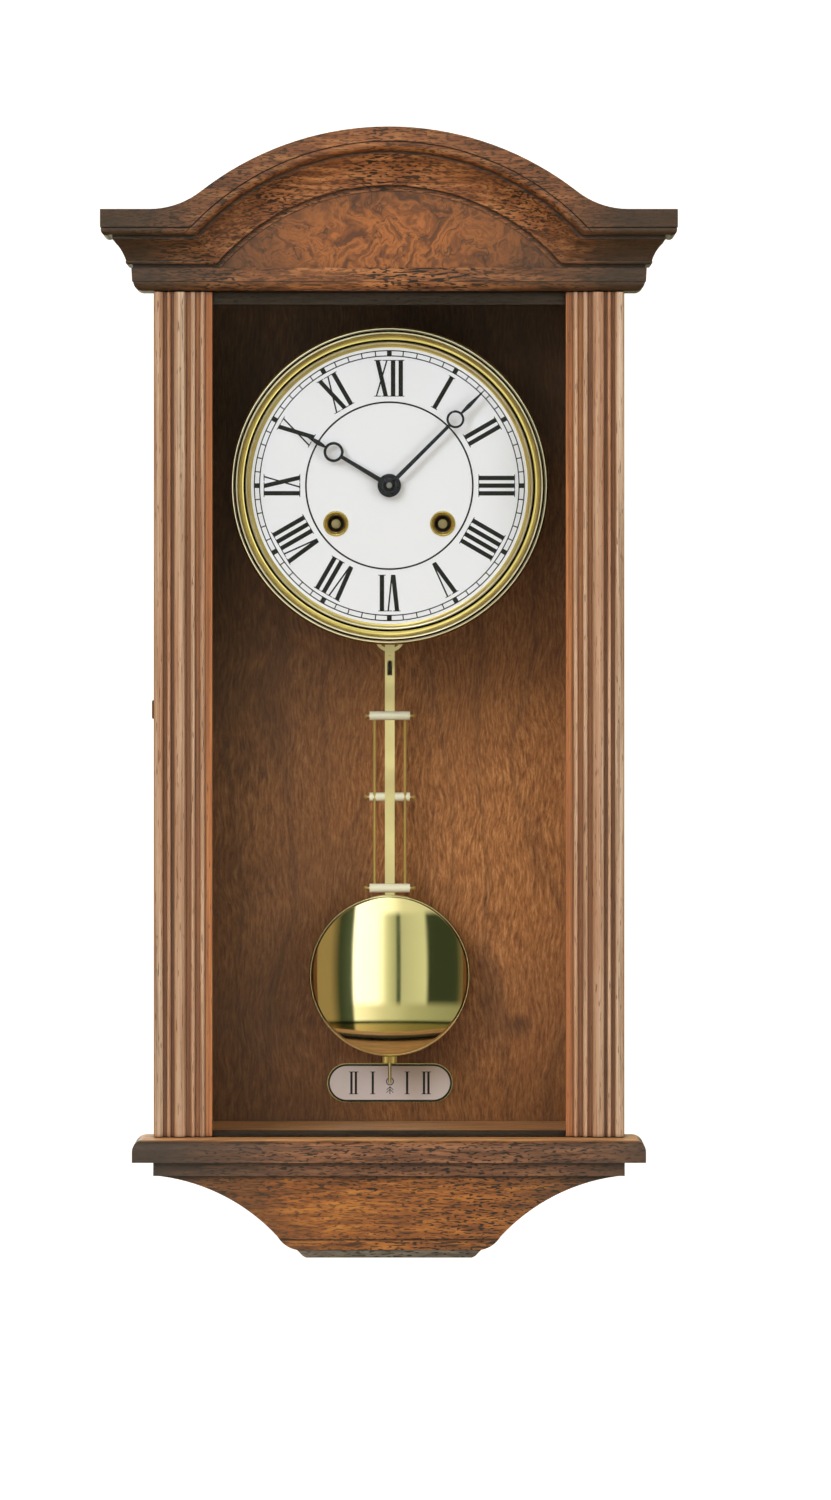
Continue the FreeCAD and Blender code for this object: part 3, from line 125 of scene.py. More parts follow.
def make_world():
    """Studio surroundings: tall pale panels with dark gaps in front of the object, a floor below."""
    world = bpy.data.worlds.new("studio")
    world.use_nodes = True
    tree = world.node_tree
    coord = tree.nodes.new("ShaderNodeTexCoord")
    split = tree.nodes.new("ShaderNodeSeparateXYZ")
    tree.links.new(coord.outputs["Generated"], split.inputs[0])

    def band(source, stops):
        spread = tree.nodes.new("ShaderNodeMapRange")
        spread.inputs["From Min"].default_value = -1
        tree.links.new(source, spread.inputs["Value"])
        ramp = tree.nodes.new("ShaderNodeValToRGB")
        elements = ramp.color_ramp.elements
        while len(elements) < len(stops):
            elements.new(0.5)
        for element, (place, colour) in zip(elements, stops):
            element.position = (place + 1) / 2
            element.color = (*colour, 1)
        tree.links.new(spread.outputs["Result"], ramp.inputs["Fac"])
        return ramp.outputs["Color"]

    def calculate(operation, first, second=None):
        node = tree.nodes.new("ShaderNodeMath")
        node.operation = operation
        tree.links.new(first, node.inputs[0])
        if second is not None:
            tree.links.new(second, node.inputs[1])
        return node.outputs[0]

    def blend(kind, factor, first, second):
        node = tree.nodes.new("ShaderNodeMix")
        node.data_type = "RGBA"
        node.blend_type = kind
        if factor is None:
            node.inputs[0].default_value = 1.0
        else:
            tree.links.new(factor, node.inputs[0])
        tree.links.new(first, node.inputs[6])
        tree.links.new(second, node.inputs[7])
        return node.outputs[2]

    east, north, up = split.outputs["X"], split.outputs["Y"], split.outputs["Z"]
    squares = calculate("ADD", calculate("MULTIPLY", east, east), calculate("MULTIPLY", north, north))
    bearing = calculate("DIVIDE", east, calculate("SQRT", squares))
    warm = (0.40, 0.29, 0.13)
    gap = (0.045, 0.06, 0.03)
    soft_gap = (0.10, 0.13, 0.08)
    left_side = [(-1.0, warm), (-0.42, warm), (-0.355, gap), (-0.275, soft_gap)]
    across = band(bearing, left_side + [
        (-0.255, (2.4, 2.35, 2.2)),
        (-0.10, (2.2, 2.15, 1.9)), (-0.02, (0.9, 0.9, 0.6)), (0.04, (0.5, 0.52, 0.34)), (0.05, soft_gap),
        (0.07, soft_gap), (0.08, (0.66, 0.66, 0.46)), (0.25, (0.85, 0.85, 0.58)), (0.275, gap), (0.46, gap),
        (0.54, warm), (1.0, warm)])
    overhead = band(bearing, left_side + [
        (-0.255, (2.4, 2.35, 2.2)), (-0.05, (2.0, 1.95, 1.6)), (0.10, (1.0, 0.97, 0.7)),
        (0.40, (0.8, 0.78, 0.55)), (0.6, warm), (1.0, warm)])
    near_floor = band(bearing, left_side + [
        (-0.255, (1.6, 1.5, 1.2)), (-0.05, (0.9, 0.86, 0.6)), (0.15, (0.55, 0.55, 0.34)),
        (0.46, (0.38, 0.38, 0.22)), (0.6, warm), (1.0, warm)])
    ground = band(up, [
        (-1.0, (0.42, 0.30, 0.15)), (-0.45, (0.5, 0.38, 0.2)), (-0.385, (0.5, 0.42, 0.24)), (-0.375, gap),
        (-0.365, gap), (-0.355, (1, 1, 1)), (1.0, (1, 1, 1.05))])
    white, black = (1, 1, 1), (0, 0, 0)
    is_high = band(up, [(-1.0, black), (0.37, black), (0.41, white), (1.0, white)])
    is_low = band(up, [(-1.0, white), (-0.27, white), (-0.22, black), (1.0, black)])
    walls = blend("MIX", is_low, blend("MIX", is_high, across, overhead), near_floor)
    studio = blend("MULTIPLY", None, walls, ground)
    background = tree.nodes["Background"]
    tree.links.new(studio, background.inputs["Color"])
    background.inputs["Strength"].default_value = 1.0
    bpy.context.scene.world = world
    bpy.context.scene.view_settings.view_transform = "Standard"


def make_stage():
    """Plain pale floor and plain pale walls, all well away from the object."""
    pale = bpy.data.materials.new("stage_pale")
    pale.use_nodes = True
    shader = pale.node_tree.nodes["Principled BSDF"]
    shader.inputs["Base Color"].default_value = (0.5, 0.5, 0.5, 1)
    shader.inputs["Roughness"].default_value = 1.0
    shader.inputs["Emission Color"].default_value = (1, 1, 1, 1)
    shader.inputs["Emission Strength"].default_value = 0.9
    far = 14.0
    low = CASE_BOTTOM - 7.0
    high = low + 22.0
    corners = {
        "floor": [(-far, -far, low), (far, -far, low), (far, far, low), (-far, far, low)],
        "wall_back": [(-far, far, low), (far, far, low), (far, far, high), (-far, far, high)],
        "wall_front": [(far, -far, low), (-far, -far, low), (-far, -far, high), (far, -far, high)],
        "wall_left": [(-far, -far, low), (-far, far, low), (-far, far, high), (-far, -far, high)],
        "wall_right": [(far, far, low), (far, -far, low), (far, -far, high), (far, far, high)],
    }
    for name, points in corners.items():
        mesh = bpy.data.meshes.new(name)
        mesh.from_pydata(points, [], [(0, 1, 2, 3)])
        plane = bpy.data.objects.new(name, mesh)
        plane.data.materials.append(pale)
        bpy.context.collection.objects.link(plane)
        plane.visible_glossy = False
        plane.visible_diffuse = False


# ---- material helpers ----
def srgb(red, green, blue):
    """Linear colour from 0-255 display values."""
    channels = []
    for value in (red, green, blue):
        v = value / 255
        channels.append(v / 12.92 if v <= 0.04045 else ((v + 0.055) / 1.055) ** 2.4)
    return (*channels, 1.0)


def darker(colour, share):
    return tuple(channel * share for channel in colour[:3]) + (1,)


class Surface:
    """A principled material and short calls that add nodes to it."""

    def __init__(self, name):
        self.material = bpy.data.materials.new(name)
        self.material.use_nodes = True
        self.tree = self.material.node_tree
        self.shader = self.tree.nodes["Principled BSDF"]
        self.coord = self.tree.nodes.new("ShaderNodeTexCoord").outputs["Object"]

    def add(self, kind, **values):
        node = self.tree.nodes.new(kind)
        for key, value in values.items():
            if hasattr(node, key):
                setattr(node, key, value)
            else:
                node.inputs[key.replace("_", " ")].default_value = value
        return node

    def link(self, source, target):
        self.tree.links.new(source, target)

    def set(self, name, value):
        self.shader.inputs[name].default_value = value

    def stretched(self, scale, source=None, location=(0, 0, 0)):
        node = self.add("ShaderNodeMapping")
        node.inputs["Scale"].default_value = scale
        node.inputs["Location"].default_value = location
        self.link(source or self.coord, node.inputs["Vector"])
        return node.outputs["Vector"]

    def wander(self, scale, amount, detail=2.0):
        """The object's coordinates pushed about by a slow noise, so that straight figure bends."""
        push = self.add("ShaderNodeTexNoise", Scale=scale, Detail=detail)
        self.link(self.coord, push.inputs["Vector"])
        scaled = self.add("ShaderNodeVectorMath", operation="SCALE")
        self.link(push.outputs["Color"], scaled.inputs[0])
        scaled.inputs["Scale"].default_value = amount
        moved = self.add("ShaderNodeVectorMath", operation="ADD")
        self.link(self.coord, moved.inputs[0])
        self.link(scaled.outputs[0], moved.inputs[1])
        return moved.outputs[0]

    def noise(self, vector, scale, detail=4.0, rough=0.55, warp=0.0):
        node = self.add("ShaderNodeTexNoise", Scale=scale, Detail=detail, Roughness=rough, Distortion=warp)
        self.link(vector, node.inputs["Vector"])
        return node.outputs["Fac"]

    def ramp(self, source, stops):
        node = self.add("ShaderNodeValToRGB")
        band = node.color_ramp
        while len(band.elements) < len(stops):
            band.elements.new(0.5)
        for element, (place, colour) in zip(band.elements, stops):
            element.position = place
            element.color = colour
        self.link(source, node.inputs["Fac"])
        return node.outputs["Color"]

    def level(self, source, low, high, start=0.0, end=1.0):
        node = self.add("ShaderNodeMapRange")
        node.inputs["From Min"].default_value = low
        node.inputs["From Max"].default_value = high
        node.inputs["To Min"].default_value = start
        node.inputs["To Max"].default_value = end
        self.link(source, node.inputs["Value"])
        return node.outputs["Result"]

    def mix(self, factor, first, second, blend="MIX"):
        node = self.tree.nodes.new("ShaderNodeMix")
        node.data_type = "RGBA"
        node.blend_type = blend
        for value, place in ((factor, 0), (first, 6), (second, 7)):
            if hasattr(value, "is_linked"):
                self.link(value, node.inputs[place])
            else:
                node.inputs[place].default_value = value
        return node.outputs[2]

    def math(self, operation, first, second=0.0):
        node = self.tree.nodes.new("ShaderNodeMath")
        node.operation = operation
        for value, place in ((first, 0), (second, 1)):
            if hasattr(value, "is_linked"):
                self.link(value, node.inputs[place])
            else:
                node.inputs[place].default_value = value
        return node.outputs[0]

    def axes(self, source=None):
        node = self.add("ShaderNodeSeparateXYZ")
        self.link(source or self.coord, node.inputs[0])
        return node.outputs

    def bump(self, height, strength, distance):
        node = self.add("ShaderNodeBump", Strength=strength, Distance=distance)
        self.link(height, node.inputs["Height"])
        self.link(node.outputs["Normal"], self.shader.inputs["Normal"])

    def painted_groove_shade(self, colour, groove_shade_colour, reach, amount):
        """Painted shade: darker colour in grooves and inner corners, found by an ambient-occlusion test."""
        node = self.add("ShaderNodeAmbientOcclusion", Distance=reach)
        node.samples = 8
        closed = self.level(node.outputs["AO"], 0.88, 0.50, 0.0, amount)
        return self.mix(closed, colour, groove_shade_colour)

    def paint_lit_top(self, colour, lit_colour):
        """Painted light: a lighter colour where the surface faces straight up, standing in for light falling
        on it from above.
        """
        node = self.tree.nodes.new("ShaderNodeNewGeometry")
        up = self.level(self.axes(node.outputs["Normal"])[2], 0.8, 0.95)
        return self.mix(up, colour, lit_colour)

    def finish(self, colour, rough_from=None, rough=(0.3, 0.5)):
        self.link(colour, self.shader.inputs["Base Color"])
        if rough_from is not None:
            self.link(self.level(rough_from, 0.2, 0.8, *rough), self.shader.inputs["Roughness"])
        return self.material


def shade_towards(surface, centre, inner, outer, wobble=0.004):
    """0 in the middle of an oval and 1 outside it, in metres, from the object's own coordinates."""
    x, _, z = surface.axes()
    dx = surface.math("DIVIDE", surface.math("SUBTRACT", x, centre[0]), outer[0])
    dz = surface.math("DIVIDE", surface.math("SUBTRACT", z, centre[1]), outer[1])
    square = surface.math("ADD", surface.math("MULTIPLY", dx, dx), surface.math("MULTIPLY", dz, dz))
    radius = surface.math("SQRT", square)
    uneven = surface.noise(surface.coord, 18.0, 3.0)
    radius = surface.math("ADD", radius, surface.level(uneven, 0.3, 0.7, -wobble * 20, wobble * 20))
    return surface.level(radius, inner, 1.0)


# ---- wood ----
GRAIN = {"x": (26.0, 330.0, 330.0), "z": (330.0, 330.0, 26.0)}
PORES = {"x": (330.0, 1300.0, 1300.0), "z": (1300.0, 1300.0, 330.0)}
LONG_PORES = {"x": (150.0, 1000.0, 1000.0), "z": (1000.0, 1000.0, 150.0)}


def wood(name, along, dark, middle, light, pore_colour, pore_cut=0.40, shade=None, shade_colour=None,
         rough=(0.38, 0.55), figure=0.55, coat=0.06, top=None):
    """Stained open-pored veneer: streaks, short dark pores in patches, and a darker edge that is partly
    sprayed stain and partly painted shade.
    """
    s = Surface(name)
    cloud = s.noise(s.coord, 9.0, 2.0)
    flow = s.wander(16.0, 0.014)
    streak = s.noise(s.stretched(GRAIN[along], flow), 1.0, 6.0, 0.65)
    fine = s.noise(s.stretched(GRAIN[along], flow, location=(3, 5, 7)), 3.4, 3.0, 0.6)
    base = s.ramp(streak, [(0.36, dark), (0.5, middle), (0.64, light)])
    base = s.mix(s.level(cloud, 0.35, 0.65, 0.0, figure), base, s.mix(0.5, base, dark))
    base = s.mix(s.level(fine, 0.35, 0.7, 0.0, 0.35), base, middle)
    short = s.level(s.noise(s.stretched(PORES[along]), 1.0, 0.0, 0.4), pore_cut, pore_cut - 0.04)
    longer = s.level(s.noise(s.stretched(LONG_PORES[along]), 1.0, 0.0, 0.4), pore_cut - 0.03, pore_cut - 0.07)
    pore = s.math("MAXIMUM", short, longer)
    patch = s.level(s.noise(s.coord, 24.0, 2.0), 0.36, 0.56, 0.55, 1.0)
    pore = s.math("MULTIPLY", pore, patch)
    base = s.mix(s.math("MULTIPLY", pore, 0.95), base, pore_colour)
    # Darker outside an oval: partly sprayed stain, partly painted shade.
    if shade:
        amount = shade_towards(s, *shade)
        base = s.mix(s.math("MULTIPLY", amount, 0.92), base, shade_colour)
    # Painted light: faces that look straight up take the lighter top colour, as on the lit floor of the case.
    if top:
        base = s.paint_lit_top(base, s.ramp(streak, [(0.40, darker(top, 0.55)), (0.60, top)]))
    # Painted shade in grooves and inner corners, in the pore colour.
    base = s.painted_groove_shade(base, pore_colour, 0.004, 0.9)
    relief = s.math("SUBTRACT", s.math("MULTIPLY", streak, 0.35), pore)
    s.bump(relief, 0.35, 0.0004)
    s.set("Coat Weight", coat)
    s.set("Coat Roughness", 0.22)
    return s.finish(base, fine, rough)


def burl(name, shade):
    """Figured burl: swirled cells, dark eyes and a dark border that is partly sprayed stain and partly
    painted shade.
    """
    s = Surface(name)
    flow = s.wander(38.0, 0.05, 3.0)
    cloud = s.noise(flow, 26.0, 7.0, 0.60, 2.6)
    grainy = s.noise(flow, 420.0, 3.0, 0.7)
    base = s.ramp(cloud, [(0.38, srgb(92, 50, 22)), (0.46, srgb(138, 78, 34)), (0.54, srgb(176, 104, 46)),
                          (0.62, srgb(118, 66, 30))])
    base = s.mix(s.level(grainy, 0.45, 0.75, 0.0, 0.45), base, srgb(92, 52, 28))
    line = s.noise(flow, 15.0, 4.0, 0.5, 2.4)
    vein = s.level(s.math("ABSOLUTE", s.math("SUBTRACT", line, 0.5)), 0.014, 0.0)
    base = s.mix(s.math("MULTIPLY", vein, 0.8), base, srgb(50, 32, 20))
    # Darker towards the border: partly sprayed stain, partly painted shade.
    amount = shade_towards(s, *shade)
    base = s.mix(s.math("MULTIPLY", amount, 0.8), base, srgb(62, 40, 26))
    s.bump(cloud, 0.08, 0.0003)
    s.set("Coat Weight", 0.1)
    s.set("Coat Roughness", 0.25)
    return s.finish(base, grainy, (0.38, 0.5))


def back_veneer():
    """Mahogany veneer with vertical mottled grain, darker at the top and along the left: partly sprayed
    stain, partly painted shade.
    """
    s = Surface("back_veneer")
    flow = s.wander(14.0, 0.022, 3.0)
    grain = s.noise(s.stretched((700.0, 60.0, 110.0), flow), 1.0, 5.0, 0.7)
    fleck = s.noise(s.stretched((1300.0, 60.0, 400.0), flow), 1.0, 2.0, 0.6)
    cloud = s.noise(s.stretched((16.0, 1.0, 5.0), flow), 1.0, 4.0, 0.6)
    base = s.ramp(grain, [(0.34, srgb(128, 74, 34)), (0.5, srgb(194, 124, 66)), (0.66, srgb(236, 166, 100))])
    base = s.mix(s.level(cloud, 0.35, 0.65, 0.0, 0.4), base, srgb(150, 92, 50))
    base = s.mix(s.level(fleck, 0.5, 0.75, 0.0, 0.5), base, srgb(100, 62, 36))
    rings = s.add("ShaderNodeTexWave", wave_type="BANDS", bands_direction="X", Scale=9.0, Distortion=14.0,
                  Detail=3.0)
    rings.inputs["Detail Scale"].default_value = 1.2
    s.link(s.stretched((1.0, 1.0, 0.35)), rings.inputs["Vector"])
    base = s.mix(s.level(rings.outputs["Fac"], 0.86, 1.0, 0.0, 0.25), base, srgb(70, 42, 27))
    knot_at = (0.071, CASE_BOTTOM + mm(118))
    knot = shade_towards(s, knot_at, 0.1, (0.010, 0.008), 0.006)
    base = s.mix(s.math("MULTIPLY", s.math("SUBTRACT", 1.0, knot), 0.6), base, srgb(50, 28, 20))
    # Darker outside an oval set right of and below the middle: partly sprayed stain, partly painted shade.
    centre = (0.058, CASE_BOTTOM + mm(235))
    edge = shade_towards(s, centre, 0.30, (0.175, 0.23))
    base = s.mix(s.math("MULTIPLY", edge, 0.76), base, srgb(64, 44, 28))
    s.bump(grain, 0.12, 0.0003)
    return s.finish(base, grain, (0.5, 0.65))


def reeded_wood():
    """Column wood: vertical grain, crests painted pale as a painted highlight, orange-brown lower down, and
    painted shade in the grooves.
    """
    s = Surface("reeded_wood")
    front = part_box("door_stile_left")[0][1]
    # Painted highlight: the reed crests nearest the front are mixed towards the pale colours below.
    height = s.level(s.axes()[1], front + mm(5.2), front + mm(0.3))
    streak = s.noise(s.stretched((900.0, 900.0, 10.0)), 1.0, 6.0, 0.7)
    fine = s.noise(s.stretched((2200.0, 2200.0, 60.0)), 1.0, 3.0, 0.6)
    low = s.ramp(streak, [(0.3, srgb(98, 54, 24)), (0.5, srgb(168, 98, 46)), (0.7, srgb(210, 138, 72))])
    high = s.ramp(streak, [(0.3, srgb(128, 98, 76)), (0.5, srgb(196, 164, 136)), (0.72, srgb(234, 212, 188))])
    base = s.mix(s.level(height, 0.25, 0.85), low, high)
    dash = s.level(s.noise(s.stretched((1500.0, 1500.0, 120.0)), 1.0, 1.0), 0.36, 0.30)
    base = s.mix(s.math("MULTIPLY", dash, 0.75), base, srgb(58, 36, 26))
    base = s.mix(s.level(fine, 0.5, 0.8, 0.0, 0.3), base, srgb(96, 64, 46))
    broad = s.noise(s.stretched((70.0, 70.0, 2.5)), 1.0, 2.0, 0.5)
    base = s.mix(s.level(broad, 0.42, 0.62, 0.0, 0.5), base, srgb(160, 92, 44))
    # Painted shade in the bottoms of the reed grooves.
    base = s.painted_groove_shade(base, srgb(70, 40, 24), 0.003, 0.6)
    s.bump(s.math("SUBTRACT", streak, dash), 0.25, 0.0004)
    s.set("Coat Weight", 0.3)
    s.set("Coat Roughness", 0.2)
    return s.finish(base, fine, (0.28, 0.42))


# ---- metals, enamel and glass ----
def brass(name, colour, rough, brushed=0.0, tarnish=0.25):
    s = Surface(name)
    cloud = s.noise(s.coord, 60.0, 4.0)
    scratch = s.noise(s.stretched((90.0, 90.0, 2400.0)), 1.0, 3.0)
    tone = s.mix(s.level(cloud, 0.4, 0.75, 0.0, tarnish), colour, darker(colour, 0.72))
    s.set("Metallic", 1.0)
    if brushed:
        s.bump(scratch, brushed, 0.0001)
    s.link(tone, s.shader.inputs["Base Color"])
    s.link(s.level(cloud, 0.3, 0.7, rough * 0.8, rough * 1.3), s.shader.inputs["Roughness"])
    return s.material


def painted_highlight_ring(name):
    """Spun brass coloured by the distance from the dial's centre: cream steps are painted highlights and
    black bands are painted shade in the grooves.
    """
    s = Surface(name)
    x, _, z = s.axes()
    dx = s.math("SUBTRACT", x, DIAL_X)
    dz = s.math("SUBTRACT", z, DIAL_Z)
    radius = s.math("SQRT", s.math("ADD", s.math("MULTIPLY", dx, dx), s.math("MULTIPLY", dz, dz)))
    yellow, cream = srgb(240, 224, 140), srgb(254, 248, 216)
    black, edge = srgb(34, 34, 20), srgb(150, 112, 54)
    first, last = 75.0, 88.0
    # Cream rings are painted highlights; black rings are painted shade in the grooves.
    rings = [(75.4, cream), (76.0, yellow), (77.0, yellow), (77.3, cream), (78.2, cream), (78.6, black),
             (79.6, black), (79.9, yellow), (82.3, yellow), (82.6, cream), (83.7, cream), (84.0, black),
             (84.7, black), (85.0, cream), (85.8, cream), (86.3, edge)]
    stops = [((place - first) / (last - first), colour) for place, colour in rings]
    tone = s.ramp(s.level(radius, mm(first), mm(last)), stops)
    cloud = s.noise(s.coord, 70.0, 3.0)
    tone = s.mix(s.level(cloud, 0.4, 0.7, 0.0, 0.2), tone, edge)
    s.set("Metallic", 0.7)
    return s.finish(tone, cloud, (0.14, 0.22))


def sheen_painted_bar(name, end_x):
    """Brass painted near-white cream as a painted sheen, with darker polished tips beyond end_x on either
    side.
    """
    s = Surface(name)
    tip = s.level(s.math("ABSOLUTE", s.axes()[0]), end_x, end_x + mm(0.3))
    cloud = s.noise(s.coord, 90.0, 3.0)
    tone = s.mix(s.level(cloud, 0.4, 0.7, 0.0, 0.2), srgb(255, 251, 220), srgb(246, 238, 196))
    tone = s.mix(tip, tone, srgb(232, 206, 120))
    s.link(s.level(tip, 0.0, 1.0, 0.0, 0.8), s.shader.inputs["Metallic"])
    return s.finish(tone, cloud, (0.34, 0.42))


def plain_metal(name, colour, rough, metallic=1.0):
    s = Surface(name)
    grain = s.noise(s.coord, 900.0, 3.0)
    tone = s.mix(s.level(grain, 0.35, 0.7, 0.0, 0.3), colour, darker(colour, 0.7))
    s.set("Metallic", metallic)
    s.bump(grain, 0.05, 0.0001)
    return s.finish(tone, grain, (rough * 0.85, rough * 1.2))


def enamel(name, colour, rough, mottle=0.06):
    s = Surface(name)
    cloud = s.noise(s.coord, 35.0, 3.0)
    tone = s.mix(s.level(cloud, 0.35, 0.7, 0.0, mottle), colour, darker(colour, 0.85))
    s.bump(s.noise(s.coord, 1400.0, 2.0), 0.03, 0.00005)
    return s.finish(tone, cloud, (rough * 0.9, rough * 1.15))


def pane():
    """Clear float glass, thin enough to show no colour of its own."""
    s = Surface("pane")
    haze = s.noise(s.coord, 12.0, 2.0)
    tint = s.mix(s.level(haze, 0.3, 0.7), (0.003, 0.004, 0.004, 1), (0.006, 0.007, 0.007, 1))
    s.set("Alpha", 0.035)
    return s.finish(tint, haze, (0.02, 0.05))


# ---- mesh helpers ----
def crisp(piece, degrees):
    """Keep edges sharper than the given angle out of the smooth shading."""
    split = piece.modifiers.new("crisp", "EDGE_SPLIT")
    split.split_angle = math.radians(degrees)


def add_piece(name, mesh, material, body, smooth=False):
    piece = bpy.data.objects.new(name, mesh)
    bpy.context.collection.objects.link(piece)
    mesh.materials.append(material)
    if smooth:
        for polygon in mesh.polygons:
            polygon.use_smooth = True
    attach(piece, body)
    return piece


def closed_mesh(name, verts, faces):
    """A mesh of closed shells, with every face turned outward."""
    mesh = bpy.data.meshes.new(name)
    mesh.from_pydata(verts, [], faces)
    work = bmesh.new()
    work.from_mesh(mesh)
    bmesh.ops.recalc_face_normals(work, faces=work.faces[:])
    work.to_mesh(mesh)
    work.free()
    return mesh


def print_mesh(name, polygons, face_y, proud=0.00006):
    """Flat printed shapes: each (x, z) polygon is a very thin closed tile on a face that looks along -Y."""
    verts = []
    faces = []
    for polygon in polygons:
        count = len(polygon)
        front = list(range(len(verts), len(verts) + count))
        back = [corner + count for corner in front]
        verts += [(x, face_y - proud, z) for x, z in polygon]
        verts += [(x, face_y + proud * 0.5, z) for x, z in polygon]
        faces.append(front)
        faces.append(back[::-1])
        for k in range(count):
            n = (k + 1) % count
            faces.append([front[k], back[k], back[n], front[n]])
    return closed_mesh(name, verts, faces)


def ring_quads(centre, inner, outer, steps):
    """A flat ring as quads, in the X-Z plane."""
    quads = []
    for k in range(steps):
        a = 2 * math.pi * k / steps
        b = 2 * math.pi * (k + 1) / steps
        quads.append([(centre[0] + r * math.sin(t), centre[1] + r * math.cos(t))
                      for r, t in ((inner, a), (outer, a), (outer, b), (inner, b))])
    return quads


def bar(x0, x1, z0, z1):
    return [(x0, z0), (x1, z0), (x1, z1), (x0, z1)]


def slanted(x_low, x_high, z0, z1, width):
    """An upright stroke whose foot is centred on x_low and whose head is centred on x_high."""
    half = width / 2
    return [(x_low - half, z0), (x_low + half, z0), (x_high + half, z1), (x_high - half, z1)]


def placed_on_dial(polygon, degrees):
    """Turn a polygon drawn upright over the dial's centre clockwise to its hour."""
    angle = math.radians(degrees)
    turned = []
    for x, z in polygon:
        turned.append((DIAL_X + x * math.cos(angle) + z * math.sin(angle),
                       DIAL_Z - x * math.sin(angle) + z * math.cos(angle)))
    return turned


# ---- dial print ----
NUMERAL_LOW = mm(48.7)
NUMERAL_HIGH = mm(68.7)
THICK = mm(2.4)
THIN = mm(0.85)
SERIF = mm(0.45)
LETTER_WIDTHS = {"I": mm(4.2), "V": mm(8.1), "X": mm(8.3)}
NUMERALS = ["XII", "I", "II", "III", "IIII", "V", "VI", "VII", "VIII", "IX", "X", "XI"]


def letter(kind, left, z0, z1, thick, thin, serif):
    """Polygons of one Roman letter that starts at left, with hairline serifs."""
    width = LETTER_WIDTHS[kind] * thick / THICK
    gap = mm(0.12)
    right = left + width
    shapes = []
    if kind == "I":
        middle = left + width / 2
        shapes.append(bar(middle - thick / 2, middle + thick / 2, z0 + serif, z1 - serif))
        shapes.append(bar(left + gap, right - gap, z0, z0 + serif))
        shapes.append(bar(left + gap, right - gap, z1 - serif, z1))
    if kind == "V":
        foot = left + width * 0.5
        shapes.append(slanted(foot, left + thick * 0.8, z0, z1 - serif, thick))
        shapes.append(slanted(foot + thick * 0.3, right - thin * 1.6, z0, z1 - serif, thin))
        shapes.append(bar(left, left + thick * 1.75, z1 - serif, z1))
        shapes.append(bar(right - thin * 4, right, z1 - serif, z1))
    if kind == "X":
        shapes.append(slanted(right - thick * 0.8, left + thick * 0.8, z0 + serif, z1 - serif, thick))
        shapes.append(slanted(left + thin * 1.6, right - thin * 1.6, z0 + serif, z1 - serif, thin))
        wide, narrow = thick * 1.7, thin * 4.4
        for z, left_serif, right_serif in ((z0, narrow, wide), (z1 - serif, wide, narrow)):
            shapes.append(bar(left, left + left_serif, z, z + serif))
            shapes.append(bar(right - right_serif, right, z, z + serif))
    return shapes, width


def numeral(text, z0, z1, thick=THICK, thin=THIN, serif=SERIF):
    """Polygons of a whole Roman numeral centred on x = 0."""
    total = sum(LETTER_WIDTHS[kind] * thick / THICK for kind in text)
    left = -total / 2
    shapes = []
    for kind in text:
        more, width = letter(kind, left, z0, z1, thick, thin, serif)
        shapes += more
        left += width
    return shapes


def stacked(name, groups, face_y, material, body):
    """Printed groups that may cross are laid at slightly different heights, so no two faces coincide."""
    for level, polygons in enumerate(groups):
        mesh = print_mesh(name + "_%d" % level, polygons, face_y, 0.00005 + 0.00001 * level)
        add_piece(name + "_%d" % level, mesh, material, body)


def dial_print(ink):
    centre = (DIAL_X, DIAL_Z)
    rings = []
    for radius, width in ((45.6, 0.95), (70.9, 0.6), (73.8, 0.6)):
        rings += ring_quads(centre, mm(radius - width / 2), mm(radius + width / 2), 180)
    marks = []
    for minute in range(60):
        half = mm(1.3) if minute % 5 == 0 else mm(0.3)
        marks.append(placed_on_dial(bar(-half, half, mm(71.1), mm(73.6)), minute * 6))
    figures = []
    crossing = []
    for hour, text in enumerate(NUMERALS):
        for polygon in numeral(text, NUMERAL_LOW, NUMERAL_HIGH):
            steep = abs(polygon[0][0] - polygon[3][0]) > mm(0.5)
            thin = polygon[1][0] - polygon[0][0] < mm(1.0)
            target = crossing if steep and thin else figures
            target.append(placed_on_dial(polygon, hour * 30))
    stacked("dial_print", [rings, marks, figures, crossing], DIAL_FACE, ink, "case")


